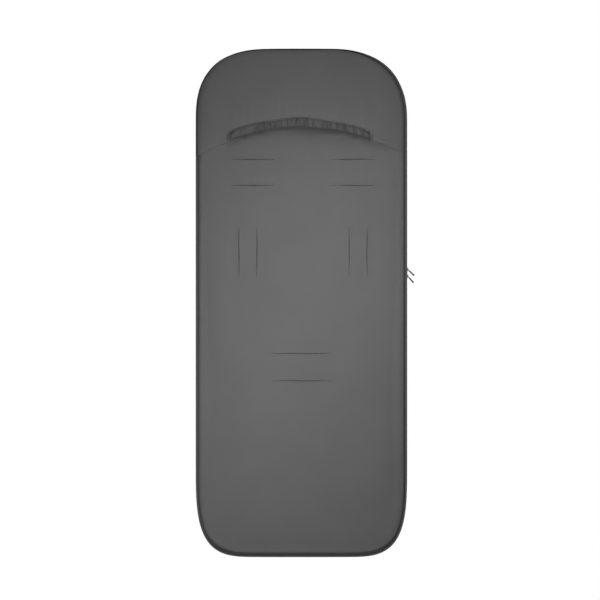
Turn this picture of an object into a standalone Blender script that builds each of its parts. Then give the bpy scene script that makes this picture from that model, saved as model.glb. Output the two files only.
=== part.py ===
"""Stroller footmuff: a padded back panel with harness slots and a seat-back pocket, and a padded
front cover that zips to it down both sides and round the foot.

Metres, +Z up towards the head end. The back faces -Y and lies against the stroller's seat back, and
the cover faces +Y. The origin is the middle of the back panel's flat outer face. Heights are measured
from the foot end, insets inwards from the outline that the footmuff has from behind, and depths along Y.
"""

import math

import bmesh
import bpy
from mathutils import Matrix, Vector

# Outline from behind
LENGTH = 1.000
HALF_WIDTH = 0.2078
ORIGIN_HEIGHT = 0.475
HEAD_CORNER_ACROSS = 0.149
HEAD_CORNER_DOWN = 0.141
HEAD_CORNER_SQUARENESS = 2.46
HEAD_CROWN = 0.004
FOOT_CORNER_ACROSS = 0.124
FOOT_CORNER_UP = 0.187
FOOT_CORNER_SQUARENESS = 3.5
FOOT_CROWN = 0.002
CORNER_STEPS = 9
SMOOTH_ANGLE = 35

# Clearance between pieces that touch, and how far a cutter runs past what it cuts
GAP = 0.0003
OVERRUN = 0.004

# Seam and piping at the back panel's edge
PIPING_RADIUS = 0.0023
PIPING_SIDES_RESOLUTION = 1
SEAM_DEPTH = 0.009
SEAM_ALLOWANCE = 0.0021

# Back panel: woven outer shell, wadding and fleece lining
SHELL_THICKNESS = 0.001
LINING_THICKNESS = 0.002
BACK_THICKNESS = 0.017
BACK_CROWN_REACH = 0.045
LINING_EDGE_DRAW = 0.003
BACK_CROWN_FALLOFF = 2.5
LINING_FALLOFF = 2.0
WADDING_EDGE_SETBACK = 0.001
RING_SHARES = (0.0, 0.12, 0.3, 0.55, 1.0)

# Seat-back pocket over the head end, with its arched hem
HEM_BELOW_HEAD = 0.1564
HEM_ARCH_RISE = 0.0535
HEM_TILT = 0.003
HEM_BAND_HEIGHT = 0.0195
HEM_BAND_LEFT = 0.141
HEM_BAND_RIGHT = 0.136
HEM_STEPS = 20
POCKET_STAND_OFF = 0.0065
POCKET_CROWN_REACH = 0.060
POCKET_FALLOFF = 2.2
POCKET_THICKNESS = 0.001
HEAD_BINDING_RADIUS = 0.0012
RECESS_DEPTH = 0.0012
ELASTIC_HEIGHT = 0.0115
ELASTIC_THICKNESS = 0.0008
ELASTIC_END_SETBACK = 0.002
CASING_THICKNESS = 0.0008
GATHER_COUNT = 26
GATHER_RELIEF = 0.0009
GATHER_STEPS = 4
BARTACK_LENGTH = 0.003

# Harness slots: two shoulder rows, two pairs at the waist and two rows at the crotch
SLOT_OPENING = 0.0052
SLOT_BINDING = 0.0015
SLOT_END_STEPS = 4
SLOT_PATTERN_SHIFT = 0.003
SHOULDER_SLOT_LENGTH = 0.082
SHOULDER_SLOT_ASIDE = 0.098
SHOULDER_BELOW_HEM = 0.0621
SHOULDER_PITCH = 0.0511
WAIST_SLOT_LENGTH = 0.093
WAIST_INNER_ASIDE = 0.0906
WAIST_PITCH = 0.0351
WAIST_BELOW_SHOULDER = 0.1301
CROTCH_SLOT_LENGTH = 0.113
CROTCH_BELOW_WAIST = 0.1996
CROTCH_PITCH = 0.0535

# Zip between the back panel and the cover
TAPE_INSET = 0.0004
TAPE_WIDTH = 0.0105
TAPE_THICKNESS = 0.001
COIL_INSET = 0.0002
COIL_WIDTH = 0.0026
COIL_DEPTH = 0.002
COIL_SPLIT = 0.0012
ZIP_TOP_BELOW_COVER = 0.010
TAPE_TAIL = 0.007
STOP_LENGTH = 0.003
STOP_PROUD = 0.0001

# Front cover: a domed pad, open at its straight top edge
COVER_TOP = 0.700
COVER_DEPTH = 0.048
COVER_WADDING = 0.010
COVER_BINDING_HEIGHT = 0.003
DOME_MARGIN = 0.004
DOME_STEPS = 5

# Zip sliders, head to head on the right side, and their pulls
SLIDER_MEETING_HEIGHT = 0.5595
SLIDER_APART = 0.0015
SLIDER_LENGTH = 0.0115
SLIDER_HEAD_WIDTH = 0.0085
SLIDER_TAIL_WIDTH = 0.0062
SLIDER_ROUND = 0.0009
PLATE_THICKNESS = 0.0011
PLATE_CLEARANCE = 0.0004
NECK_WIDTH = 0.0006
NECK_LENGTH = 0.003
NECK_SETBACK = 0.0008
BRIDGE_WIDTH = 0.0018
BRIDGE_LENGTH = 0.0052
BRIDGE_WINDOW_LENGTH = 0.003
BRIDGE_WINDOW_HEIGHT = 0.0015
BRIDGE_BAR = 0.0007
PULL_LENGTH = 0.0175
PULL_WIDTH = 0.0062
PULL_THICKNESS = 0.0022
PULL_TIP_THICKNESS = 0.0028
PULL_TIP_LENGTH = 0.004
PULL_NECK_SHARE = 0.8
PULL_END_SHARE = 0.72
PULL_ROUND = 0.0008
PULL_TAB_START = 0.004
PULL_WIRE = 0.0009
PULL_WIRE_CLEARANCE = 0.0004
UPPER_PULL_HANG = 43
LOWER_PULL_HANG = 49

# What follows from the sizes above
SHELL_RIM = 2 * PIPING_RADIUS + GAP
PANEL_RIM = 2 * HEAD_BINDING_RADIUS + GAP
CROWN_START = SHELL_RIM + SEAM_ALLOWANCE
WADDING_RIM = CROWN_START + WADDING_EDGE_SETBACK
HEM_APEX = LENGTH - HEM_BELOW_HEAD
SHOULDER_UPPER = HEM_APEX - SHOULDER_BELOW_HEM
SHOULDER_LOWER = SHOULDER_UPPER - SHOULDER_PITCH
WAIST_HEIGHT = SHOULDER_LOWER - WAIST_BELOW_SHOULDER
CROTCH_UPPER = WAIST_HEIGHT - CROTCH_BELOW_WAIST
CROTCH_LOWER = CROTCH_UPPER - CROTCH_PITCH
WAIST_OUTER_ASIDE = WAIST_INNER_ASIDE + WAIST_PITCH
TAPE_NEAR = SEAM_DEPTH + PIPING_RADIUS + GAP
TAPE_FAR = TAPE_NEAR + TAPE_WIDTH
COIL_NEAR = TAPE_FAR + GAP
COIL_FAR = COIL_NEAR + COIL_WIDTH
ZIP_DEPTH = COIL_FAR + COIL_SPLIT / 2
COVER_SEAM_DEPTH = 2 * ZIP_DEPTH - SEAM_DEPTH
COVER_REACH = min(FOOT_CORNER_ACROSS, HEAD_CORNER_ACROSS, HEAD_CORNER_DOWN) - DOME_MARGIN
COVER_WALL = SHELL_THICKNESS + COVER_WADDING + LINING_THICKNESS + 2 * GAP
ZIP_TOP = COVER_TOP - ZIP_TOP_BELOW_COVER


def clear_scene():
    for found in list(bpy.data.objects):
        bpy.data.objects.remove(found, do_unlink=True)


def up(height):
    """World Z of a height above the foot end."""
    return height - ORIGIN_HEIGHT


def material(name, colour, roughness, metallic=0.0):
    made = bpy.data.materials.new(name)
    made.use_nodes = True
    shader = made.node_tree.nodes["Principled BSDF"]
    shader.inputs["Base Color"].default_value = (*colour, 1.0)
    shader.inputs["Roughness"].default_value = roughness
    shader.inputs["Metallic"].default_value = metallic
    return made


def add_object(name, bm, finish, smooth=True):
    """Turns a bmesh into a named object with its faces pointing outwards."""
    bmesh.ops.recalc_face_normals(bm, faces=bm.faces)
    mesh = bpy.data.meshes.new(name)
    bm.to_mesh(mesh)
    bm.free()
    if smooth:
        mesh.shade_smooth()
        mesh.set_sharp_from_angle(angle=math.radians(SMOOTH_ANGLE))
    mesh.materials.append(finish)
    made = bpy.data.objects.new(name, mesh)
    bpy.context.scene.collection.objects.link(made)
    return made


def as_helper(helper):
    """Keeps an object as a cutter or a joined form only."""
    helper.hide_render = True
    helper.display_type = "WIRE"
    return helper


def combine(target, helper, operation):
    modifier = target.modifiers.new(helper.name, "BOOLEAN")
    modifier.operation = operation
    modifier.solver = "EXACT"
    modifier.object = helper


# Outline and paths along it
def corner_arc(across, rise, squareness):
    """Quarter of a rounded corner, from its side end to its level end, as offsets from its centre."""
    power = 2 / squareness
    turns = [math.pi / 2 * step / CORNER_STEPS for step in range(CORNER_STEPS + 1)]
    return [(across * math.cos(t) ** power, rise * math.sin(t) ** power) for t in turns]


def crown_at(crown, x, share):
    """How far a gently crowned end stands past its corners."""
    return crown * (1 - (x / HALF_WIDTH) ** 2) * share


def half_outline(inset):
    """Right half of the outline, as (x, height) from the foot end up to the head end."""
    points = []
    foot_rise = FOOT_CORNER_UP - FOOT_CROWN
    foot = corner_arc(FOOT_CORNER_ACROSS - inset, foot_rise - inset, FOOT_CORNER_SQUARENESS)
    for across, drop in reversed(foot):
        x = HALF_WIDTH - FOOT_CORNER_ACROSS + across
        share = drop / (foot_rise - inset)
        points.append((x, FOOT_CORNER_UP - drop - crown_at(FOOT_CROWN, x, share)))
    head_rise = HEAD_CORNER_DOWN - HEAD_CROWN
    head = corner_arc(HEAD_CORNER_ACROSS - inset, head_rise - inset, HEAD_CORNER_SQUARENESS)
    for across, rise in head:
        x = HALF_WIDTH - HEAD_CORNER_ACROSS + across
        share = rise / (head_rise - inset)
        points.append((x, LENGTH - HEAD_CORNER_DOWN + rise + crown_at(HEAD_CROWN, x, share)))
    return points


def outline(inset):
    """The whole outline at an inset, as a closed loop."""
    right = half_outline(inset)
    return right + [(-x, height) for x, height in reversed(right)]


def foot_path(inset, right_top, left_top):
    """Path at an inset from a height on the right side, round the foot, to a height on the left."""
    left = [(-x, height) for x, height in half_outline(inset) if height < FOOT_CORNER_UP + GAP]
    right = [(-x, height) for x, height in reversed(left)]
    return [(HALF_WIDTH - inset, right_top)] + right + left + [(inset - HALF_WIDTH, left_top)]


def head_path(inset, right_bottom, left_bottom):
    """Path at an inset from a height on the right side, over the head, to a height on the left."""
    head = [(x, height) for x, height in half_outline(inset) if height > FOOT_CORNER_UP + GAP]
    left = [(-x, height) for x, height in reversed(head)]
    return [(HALF_WIDTH - inset, right_bottom)] + head + left + [(inset - HALF_WIDTH, left_bottom)]


def hem_height(x):
    """Height of the pocket's arched lower hem."""
    share = x / HALF_WIDTH
    return HEM_APEX - HEM_ARCH_RISE * share**2 + HEM_TILT * share


HEM_ENDS = [hem_height(HALF_WIDTH), hem_height(-HALF_WIDTH)]
RECESS_TOP = hem_height(PANEL_RIM - HALF_WIDTH) - GAP
RECESS_FOOT = RECESS_TOP - RECESS_DEPTH


def rise_share(inset, start, reach, falloff):
    """1 at the seam and 0 where the surface has become flat."""
    share = min(max((inset - start) / (reach - start), 0), 1)
    return (1 - share) ** falloff


def back_face(inset):
    """Depth of the back panel's outer face: flat in the middle, drawn in to the seam."""
    return SEAM_DEPTH * rise_share(inset, CROWN_START, BACK_CROWN_REACH, BACK_CROWN_FALLOFF)


def lining_face(inset):
    """Depth of the back panel's inner face."""
    drawn = rise_share(inset, CROWN_START, BACK_CROWN_REACH, LINING_FALLOFF)
    return BACK_THICKNESS - LINING_EDGE_DRAW * drawn


def pocket_face(inset):
    """Depth of the pocket panel's outer face."""
    seam = SEAM_DEPTH + RECESS_DEPTH - GAP - POCKET_THICKNESS
    drawn = rise_share(inset, CROWN_START, POCKET_CROWN_REACH, POCKET_FALLOFF)
    return seam * drawn - POCKET_STAND_OFF * (1 - drawn)


def ring_insets(rim, reach):
    """Insets of the rings from a piece's rim to where it becomes flat."""
    crown = [CROWN_START + (reach - CROWN_START) * share for share in RING_SHARES]
    return [rim] + [inset for inset in crown if inset > rim + GAP]


# Building blocks
def loft(rings):
    """A closed solid through loops of equal counts: the first and last loops are its end faces."""
    bm = bmesh.new()
    face = bm.faces.new([bm.verts.new(place) for place in rings[0]])
    for index, ring in enumerate(rings[1:]):
        made = bmesh.ops.extrude_face_region(bm, geom=[face])["geom"]
        if index:
            bmesh.ops.delete(bm, geom=[face], context="FACES_ONLY")
        face = next(item for item in made if isinstance(item, bmesh.types.BMFace))
        for vert, place in zip(face.verts, ring):
            vert.co = place
    return bm


def level_ring(inset, depth):
    """The outline at an inset, laid at one depth."""
    return [(x, depth, up(height)) for x, height in outline(inset)]


def layer(insets, outer, inner):
    """A padded or cloth layer of the back: out over its outer face to the rim, and back inside."""
    rings = [level_ring(inset, outer(inset)) for inset in reversed(insets)]
    rings += [level_ring(inset, inner(inset)) for inset in insets]
    return loft(rings)


def chain(bm, places, closed):
    """Vertices at the places, joined by edges in a row or a loop."""
    verts = [bm.verts.new(place) for place in places]
    ends = verts[1:] + verts[:1] if closed else verts[1:]
    return [bm.edges.new(pair) for pair in zip(verts, ends)]


def band(outer, inner, near, far, closed=False):
    """A flat strip between two rows of (x, height) points, as thick as from near to far in depth."""
    bm = bmesh.new()
    edges = chain(bm, [(x, near, up(height)) for x, height in outer], closed)
    edges += chain(bm, [(x, near, up(height)) for x, height in inner], closed)
    bmesh.ops.bridge_loops(bm, edges=edges)
    thicken(bm, Vector((0, far - near, 0)))
    return bm


def thicken(bm, move):
    """Extrudes every face by one move, which makes a solid of a flat sheet."""
    made = bmesh.ops.extrude_face_region(bm, geom=bm.faces[:])["geom"]
    verts = [item for item in made if isinstance(item, bmesh.types.BMVert)]
    bmesh.ops.translate(bm, vec=move, verts=verts)


def cuboid(bm, low, high):
    """A box between two corners."""
    size = [b - a for a, b in zip(low, high)]
    centre = [(a + b) / 2 for a, b in zip(low, high)]
    matrix = Matrix.Translation(centre) @ Matrix.Diagonal((*size, 1))
    return bmesh.ops.create_cube(bm, size=1, matrix=matrix)["verts"]


def round_edges(bm, edges, radius, segments=2):
    bmesh.ops.bevel(
        bm, geom=edges, offset=radius, segments=segments, profile=0.5, affect="EDGES", material=-1
    )


def tube(name, path, depth, radius, finish):
    """A cord of cloth along a path of (x, height) points at one depth."""
    curve = bpy.data.curves.new(name, "CURVE")
    curve.dimensions = "3D"
    curve.bevel_depth = radius
    curve.bevel_resolution = PIPING_SIDES_RESOLUTION
    curve.use_fill_caps = True
    spline = curve.splines.new("POLY")
    spline.points.add(len(path) - 1)
    for point, (x, height) in zip(spline.points, path):
        point.co = (x, depth, up(height), 1)
        point.radius = 1
    curve.materials.append(finish)
    made = bpy.data.objects.new(name, curve)
    bpy.context.scene.collection.objects.link(made)
    return made


# Back panel
def step_in(bm, deepest):
    """Sets the faces shallower than a depth back under the pocket, above the recess line."""
    for height in (RECESS_FOOT, RECESS_TOP):
        geom = bm.verts[:] + bm.edges[:] + bm.faces[:]
        bmesh.ops.bisect_plane(bm, geom=geom, plane_co=(0, 0, up(height)), plane_no=(0, 0, 1))
    moved = [v for v in bm.verts if v.co.z > up(RECESS_TOP) - GAP / 2 and v.co.y < deepest]
    bmesh.ops.translate(bm, vec=(0, RECESS_DEPTH, 0), verts=moved)


def slot_places():
    """Each harness slot's name, middle, half length and whether it runs upright."""
    places = []
    for side, word in ((-1, "left"), (1, "right")):
        x = SLOT_PATTERN_SHIFT + side * SHOULDER_SLOT_ASIDE
        for row, height in (("upper", SHOULDER_UPPER), ("lower", SHOULDER_LOWER)):
            places.append((f"shoulder_{row}_{word}", x, height, SHOULDER_SLOT_LENGTH / 2, False))
        for row, aside in (("inner", WAIST_INNER_ASIDE), ("outer", WAIST_OUTER_ASIDE)):
            x = SLOT_PATTERN_SHIFT + side * aside
            places.append((f"waist_{row}_{word}", x, WAIST_HEIGHT, WAIST_SLOT_LENGTH / 2, True))
    for row, height in (("upper", CROTCH_UPPER), ("lower", CROTCH_LOWER)):
        places.append((f"crotch_{row}", 0, height, CROTCH_SLOT_LENGTH / 2, False))
    return places


def stadium(x, height, half_length, half_width, upright):
    """A slot's outline: two straight sides and two round ends."""
    points = []
    for end in (0, 1):
        for step in range(SLOT_END_STEPS + 1):
            turn = math.pi * (end + step / SLOT_END_STEPS) - math.pi / 2
            along = (half_length - half_width) * (1 - 2 * end) + half_width * math.cos(turn)
            aside = half_width * math.sin(turn)
            points.append((x + aside, height + along) if upright else (x + along, height + aside))
    return points


def slot_cutter():
    """One prism through the back panel for each harness slot."""
    bm = bmesh.new()
    half_width = SLOT_OPENING / 2 + SLOT_BINDING + GAP
    for _, x, height, half_length, upright in slot_places():
        points = stadium(x, height, half_length + SLOT_BINDING + GAP, half_width, upright)
        bm.faces.new([bm.verts.new((px, -OVERRUN, up(ph))) for px, ph in points])
    thicken(bm, Vector((0, BACK_THICKNESS + 2 * OVERRUN, 0)))
    return as_helper(add_object("slot_cutter", bm, material("cutter", (1, 0, 0), 1), smooth=False))


def back_layers(cutter):
    shell_insets = ring_insets(SHELL_RIM, BACK_CROWN_REACH)
    shell = layer(shell_insets, back_face, lambda inset: back_face(inset) + SHELL_THICKNESS)
    step_in(shell, BACK_THICKNESS)
    wadding = layer(
        ring_insets(WADDING_RIM, BACK_CROWN_REACH),
        lambda inset: back_face(inset) + SHELL_THICKNESS + GAP,
        lambda inset: lining_face(inset) - LINING_THICKNESS - GAP,
    )
    step_in(wadding, SEAM_DEPTH + SHELL_THICKNESS + GAP)
    lining = layer(shell_insets, lambda inset: lining_face(inset) - LINING_THICKNESS, lining_face)
    cloth = material("back_shell_cloth", (0.14, 0.14, 0.14), 0.85)
    fibre = material("wadding_fibre", (0.8, 0.8, 0.78), 1.0)
    fleece = material("back_lining_fleece", (0.16, 0.16, 0.165), 0.95)
    for name, bm, finish in (
        ("back_shell", shell, cloth),
        ("back_wadding", wadding, fibre),
        ("back_lining", lining, fleece),
    ):
        combine(add_object(name, bm, finish), cutter, "DIFFERENCE")


def slot_bindings():
    finish = material("slot_binding_cloth", (0.12, 0.12, 0.12), 0.85)
    for name, x, height, half_length, upright in slot_places():
        half_width = SLOT_OPENING / 2
        inner = stadium(x, height, half_length, half_width, upright)
        outer = stadium(x, height, half_length + SLOT_BINDING, half_width + SLOT_BINDING, upright)
        bm = band(outer, inner, GAP, BACK_THICKNESS - GAP, closed=True)
        add_object(f"slot_binding_{name}", bm, finish)


def back_piping():
    path = foot_path(PIPING_RADIUS, *[height - GAP for height in HEM_ENDS])
    finish = material("piping_cloth", (0.1, 0.1, 0.1), 0.8)
    tube("back_piping", path, SEAM_DEPTH, PIPING_RADIUS, finish)


# Seat-back pocket
def hem_points(left, right, rise, steps):
    """Points along the hem between two places, a rise above it."""
    places = [left + (right - left) * step / steps for step in range(steps + 1)]
    return [(x, hem_height(x) + rise) for x in places]


def pocket_panel():
    insets = ring_insets(PANEL_RIM, POCKET_CROWN_REACH)
    bm = layer(insets, pocket_face, lambda inset: pocket_face(inset) + POCKET_THICKNESS)
    panel = add_object("pocket_panel", bm, material("pocket_cloth", (0.115, 0.115, 0.115), 0.85))
    edge = HALF_WIDTH + OVERRUN
    hem = hem_points(-edge, edge, 0, HEM_STEPS)
    below = [(x, -OVERRUN) for x, _ in hem]
    cut = band(hem, below, -POCKET_STAND_OFF - OVERRUN, BACK_THICKNESS)
    finish = material("hem_cutter", (1, 0, 0), 1)
    combine(panel, as_helper(add_object("hem_cutter", cut, finish, smooth=False)), "DIFFERENCE")


def head_binding():
    path = head_path(HEAD_BINDING_RADIUS, *HEM_ENDS)
    depth = SEAM_DEPTH + RECESS_DEPTH - GAP - POCKET_THICKNESS / 2
    finish = material("head_binding_cloth", (0.08, 0.08, 0.08), 0.85)
    tube("head_edge_binding", path, depth, HEAD_BINDING_RADIUS, finish)


def hem_strip(left, right, low, high, near, far, steps=HEM_STEPS):
    """A strip along the hem, between two heights above it."""
    upper = hem_points(left, right, high, steps)
    lower = hem_points(left, right, low, steps)
    return band(upper, lower, near, far)


def hem_casing():
    """The gathered band along the pocket's hem, the elastic in it and the tacks that end it."""
    elastic_far = -POCKET_STAND_OFF - GAP
    elastic_near = elastic_far - ELASTIC_THICKNESS
    casing_far = elastic_near - GAP
    casing_near = casing_far - CASING_THICKNESS
    margin = (HEM_BAND_HEIGHT - ELASTIC_HEIGHT) / 2
    left, right = -HEM_BAND_LEFT, HEM_BAND_RIGHT
    elastic = hem_strip(
        left + ELASTIC_END_SETBACK,
        right - ELASTIC_END_SETBACK,
        margin,
        HEM_BAND_HEIGHT - margin,
        elastic_near,
        elastic_far,
    )
    add_object("pocket_elastic", elastic, material("elastic_webbing", (0.06, 0.06, 0.06), 0.7))
    steps = GATHER_COUNT * GATHER_STEPS
    casing = hem_strip(left, right, 0, HEM_BAND_HEIGHT, casing_near, casing_far, steps)
    for vert in casing.verts:
        turn = 2 * math.pi * GATHER_COUNT * (vert.co.x - left) / (right - left)
        vert.co.y -= GATHER_RELIEF * (1 - math.cos(turn)) / 2
    add_object("pocket_hem_casing", casing, material("casing_cloth", (0.09, 0.09, 0.09), 0.85))
    thread = material("tack_thread", (0.07, 0.07, 0.07), 0.8)
    for word, low, high in (
        ("left", left - GAP - BARTACK_LENGTH, left - GAP),
        ("right", right + GAP, right + GAP + BARTACK_LENGTH),
    ):
        tack = hem_strip(low, high, 0, HEM_BAND_HEIGHT, casing_near, elastic_far, 1)
        add_object(f"pocket_bartack_{word}", tack, thread)


# Zip
def zip_half(name, tape_near, tape_far, coil_near, coil_far, parent=None):
    """One side of the zip: its tape, its coil and the stops at the coil's two ends."""
    tape_cloth = material(f"zip_tape_{name}_cloth", (0.07, 0.07, 0.07), 0.8)
    tape_top = ZIP_TOP + TAPE_TAIL
    outer = foot_path(TAPE_INSET, tape_top, tape_top)
    inner = foot_path(TAPE_INSET + TAPE_THICKNESS, tape_top, tape_top)
    tape = add_object(f"zip_tape_{name}", band(outer, inner, tape_near, tape_far), tape_cloth)
    nylon = material(f"zip_coil_{name}_nylon", (0.04, 0.04, 0.04), 0.45)
    outer = foot_path(COIL_INSET, ZIP_TOP, ZIP_TOP)
    inner = foot_path(COIL_INSET + COIL_DEPTH, ZIP_TOP, ZIP_TOP)
    coil = add_object(f"zip_coil_{name}", band(outer, inner, coil_near, coil_far), nylon)
    pieces = [tape, coil]
    for side, word in ((-1, "left"), (1, "right")):
        low_x, high_x = sorted(
            side * (HALF_WIDTH - inset)
            for inset in (COIL_INSET - STOP_PROUD, COIL_INSET + COIL_DEPTH)
        )
        bm = bmesh.new()
        foot = up(ZIP_TOP + GAP)
        cuboid(bm, (low_x, coil_near, foot), (high_x, coil_far, foot + STOP_LENGTH))
        pieces.append(add_object(f"zip_stop_{name}_{word}", bm, nylon, smooth=False))
    for piece in pieces:
        follow(piece, parent)


def follow(piece, parent):
    """Parents a piece to an empty without moving the piece."""
    if parent is not None:
        piece.parent = parent
        piece.matrix_parent_inverse = Matrix.Translation(-parent.location)


# Front cover
def dome_ring(offset, share):
    """A ring of the cover's dome, an offset inside its outer face, from its rim (0) to its flat top (1)."""
    turn = math.pi / 2 * share
    across = (COVER_REACH - SHELL_RIM - offset) * math.cos(turn)
    rise = (COVER_DEPTH - offset) * math.sin(turn)
    return level_ring(COVER_REACH - across, COVER_SEAM_DEPTH + rise)


def dome_layer(offset, thickness):
    """A layer of the cover's dome over the whole outline, before its top is cut off."""
    shares = [step / DOME_STEPS for step in range(DOME_STEPS + 1)]
    rings = [dome_ring(offset, share) for share in reversed(shares)]
    rings += [dome_ring(offset + thickness, share) for share in shares]
    return loft(rings)


def keep_side(bm, height, below):
    """Cuts a solid at a height, keeps one side of it and closes the cut."""
    geom = bm.verts[:] + bm.edges[:] + bm.faces[:]
    normal = (0, 0, 1 if below else -1)
    cut = bmesh.ops.bisect_plane(
        bm, geom=geom, plane_co=(0, 0, up(height)), plane_no=normal, clear_outer=True
    )["geom_cut"]
    edges = [item for item in cut if isinstance(item, bmesh.types.BMEdge)]
    bmesh.ops.edgenet_fill(bm, edges=edges)


def front_cover(hinge):
    cloth = material("cover_shell_cloth", (0.14, 0.14, 0.14), 0.85)
    fibre = material("cover_wadding_fibre", (0.8, 0.8, 0.78), 1.0)
    fleece = material("cover_lining_fleece", (0.16, 0.16, 0.165), 0.95)
    wadding_offset = SHELL_THICKNESS + GAP
    lining_offset = wadding_offset + COVER_WADDING + GAP
    for name, offset, thickness, finish in (
        ("cover_shell", 0, SHELL_THICKNESS, cloth),
        ("cover_wadding", wadding_offset, COVER_WADDING, fibre),
        ("cover_lining", lining_offset, LINING_THICKNESS, fleece),
    ):
        bm = dome_layer(offset, thickness)
        keep_side(bm, COVER_TOP, below=True)
        follow(add_object(name, bm, finish), hinge)
    bm = dome_layer(0, COVER_WALL)
    keep_side(bm, COVER_TOP + GAP + COVER_BINDING_HEIGHT, below=True)
    keep_side(bm, COVER_TOP + GAP, below=False)
    finish = material("cover_binding_cloth", (0.1, 0.1, 0.1), 0.85)
    follow(add_object("cover_top_binding", bm, finish), hinge)
    finish = material("cover_piping_cloth", (0.1, 0.1, 0.1), 0.8)
    path = foot_path(PIPING_RADIUS, COVER_TOP, COVER_TOP)
    follow(tube("cover_piping", path, COVER_SEAM_DEPTH, PIPING_RADIUS, finish), hinge)


# Sliders and pulls
def plate(low, high, facing):
    """A slider's plate between two distances out from the coil, wide at its head and narrow at its tail."""
    bm = bmesh.new()
    verts = cuboid(
        bm,
        (low, -SLIDER_HEAD_WIDTH / 2, -SLIDER_LENGTH / 2),
        (high, SLIDER_HEAD_WIDTH / 2, SLIDER_LENGTH / 2),
    )
    for vert in verts:
        if vert.co.z * facing > 0:
            vert.co.y *= SLIDER_TAIL_WIDTH / SLIDER_HEAD_WIDTH
    upright = [e for e in bm.edges if abs(e.verts[0].co.x - e.verts[1].co.x) > GAP]
    round_edges(bm, upright, SLIDER_ROUND)
    return bm


def slider(word, height, facing, metal):
    """A slider whose tail points up (facing 1) or down (-1), on the zip line of the right side."""
    top = PLATE_CLEARANCE + PLATE_THICKNESS
    base = -COIL_DEPTH - PLATE_CLEARANCE
    place = Vector((HALF_WIDTH - COIL_INSET, ZIP_DEPTH, up(height)))
    body = add_object(f"slider_body_{word}", plate(PLATE_CLEARANCE, top, facing), metal)
    under = add_object(f"slider_{word}_base", plate(base - PLATE_THICKNESS, base, facing), metal)
    neck = bmesh.new()
    head = facing * (NECK_SETBACK - SLIDER_LENGTH / 2)
    ends = sorted((head, head + facing * NECK_LENGTH))
    cuboid(
        neck,
        (base - PLATE_THICKNESS / 2, -NECK_WIDTH / 2, ends[0]),
        (PLATE_CLEARANCE + PLATE_THICKNESS / 2, NECK_WIDTH / 2, ends[1]),
    )
    neck = add_object(f"slider_{word}_neck", neck, metal, smooth=False)
    bridge = bmesh.new()
    window = top + BRIDGE_WINDOW_HEIGHT
    leg, gap = BRIDGE_LENGTH / 2, BRIDGE_WINDOW_LENGTH / 2
    foot = top - PLATE_THICKNESS / 2
    arch = [(foot, -leg), (window + BRIDGE_BAR, -leg), (window + BRIDGE_BAR, leg), (foot, leg)]
    arch += [(foot, gap), (window, gap), (window, -gap), (foot, -gap)]
    bridge.faces.new([bridge.verts.new((x, -BRIDGE_WIDTH / 2, z)) for x, z in arch])
    thicken(bridge, Vector((0, BRIDGE_WIDTH, 0)))
    bridge = add_object(f"slider_{word}_bridge", bridge, metal, smooth=False)
    body.location = place
    for helper in (neck, under, bridge):
        helper.location = place
        combine(body, as_helper(helper), "UNION")
    return body


def pull(word, hang, body, finish):
    """A pull whose wire ring runs through the bridge's window, hung at an angle below level."""
    ring = bmesh.new()
    reach = BRIDGE_WIDTH / 2 + PULL_WIRE_CLEARANCE
    half_wire = PULL_WIRE / 2
    far = PULL_TAB_START + PULL_WIRE
    loops = []
    for low, high, half in (
        (-half_wire, far, reach + PULL_WIRE),
        (half_wire, PULL_TAB_START, reach),
    ):
        corners = [(low, -half), (high, -half), (high, half), (low, half)]
        loops += chain(ring, [(x, y, -half_wire) for x, y in corners], closed=True)
    bmesh.ops.bridge_loops(ring, edges=loops)
    thicken(ring, Vector((0, 0, PULL_WIRE)))
    made = add_object(f"pull_{word}", ring, finish, smooth=False)
    tip = PULL_LENGTH - PULL_TIP_LENGTH
    rings = []
    for x, half, share in (
        (PULL_TAB_START, PULL_THICKNESS / 2, PULL_NECK_SHARE),
        (PULL_TAB_START + PULL_TIP_LENGTH, PULL_THICKNESS / 2, 1),
        (tip, PULL_THICKNESS / 2, 1),
        (tip + PULL_TIP_LENGTH / 2, PULL_TIP_THICKNESS / 2, 1),
        (PULL_LENGTH, PULL_THICKNESS / 2, PULL_END_SHARE),
    ):
        wide = PULL_WIDTH / 2 * share
        rings.append([(x, -wide, -half), (x, wide, -half), (x, wide, half), (x, -wide, half)])
    tab = loft(rings)
    long_edges = [e for e in tab.edges if abs(e.verts[0].co.x - e.verts[1].co.x) > GAP]
    round_edges(tab, long_edges, PULL_ROUND)
    helper = as_helper(add_object(f"pull_{word}_tab", tab, finish))
    combine(made, helper, "UNION")
    pin = PLATE_CLEARANCE + PLATE_THICKNESS + BRIDGE_WINDOW_HEIGHT / 2
    for item in (made, helper):
        item.parent = body
        item.location = (pin, 0, 0)
        item.rotation_euler = (0, math.radians(hang), 0)


def sliders():
    metal = material("slider_metal", (0.05, 0.05, 0.05), 0.35, 1.0)
    rubber = material("pull_rubber", (0.05, 0.05, 0.05), 0.5)
    offset = (SLIDER_APART + SLIDER_LENGTH) / 2
    upper = slider("upper", SLIDER_MEETING_HEIGHT + offset, 1, metal)
    lower = slider("lower", SLIDER_MEETING_HEIGHT - offset, -1, metal)
    pull("upper", UPPER_PULL_HANG, upper, rubber)
    pull("lower", LOWER_PULL_HANG, lower, rubber)


def cover_hinge():
    """The line that the cover opens about, along the left side's closed zip."""
    hinge = bpy.data.objects.new("cover_hinge_line", None)
    hinge.location = (-HALF_WIDTH, ZIP_DEPTH, 0)
    bpy.context.scene.collection.objects.link(hinge)
    return hinge


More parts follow.
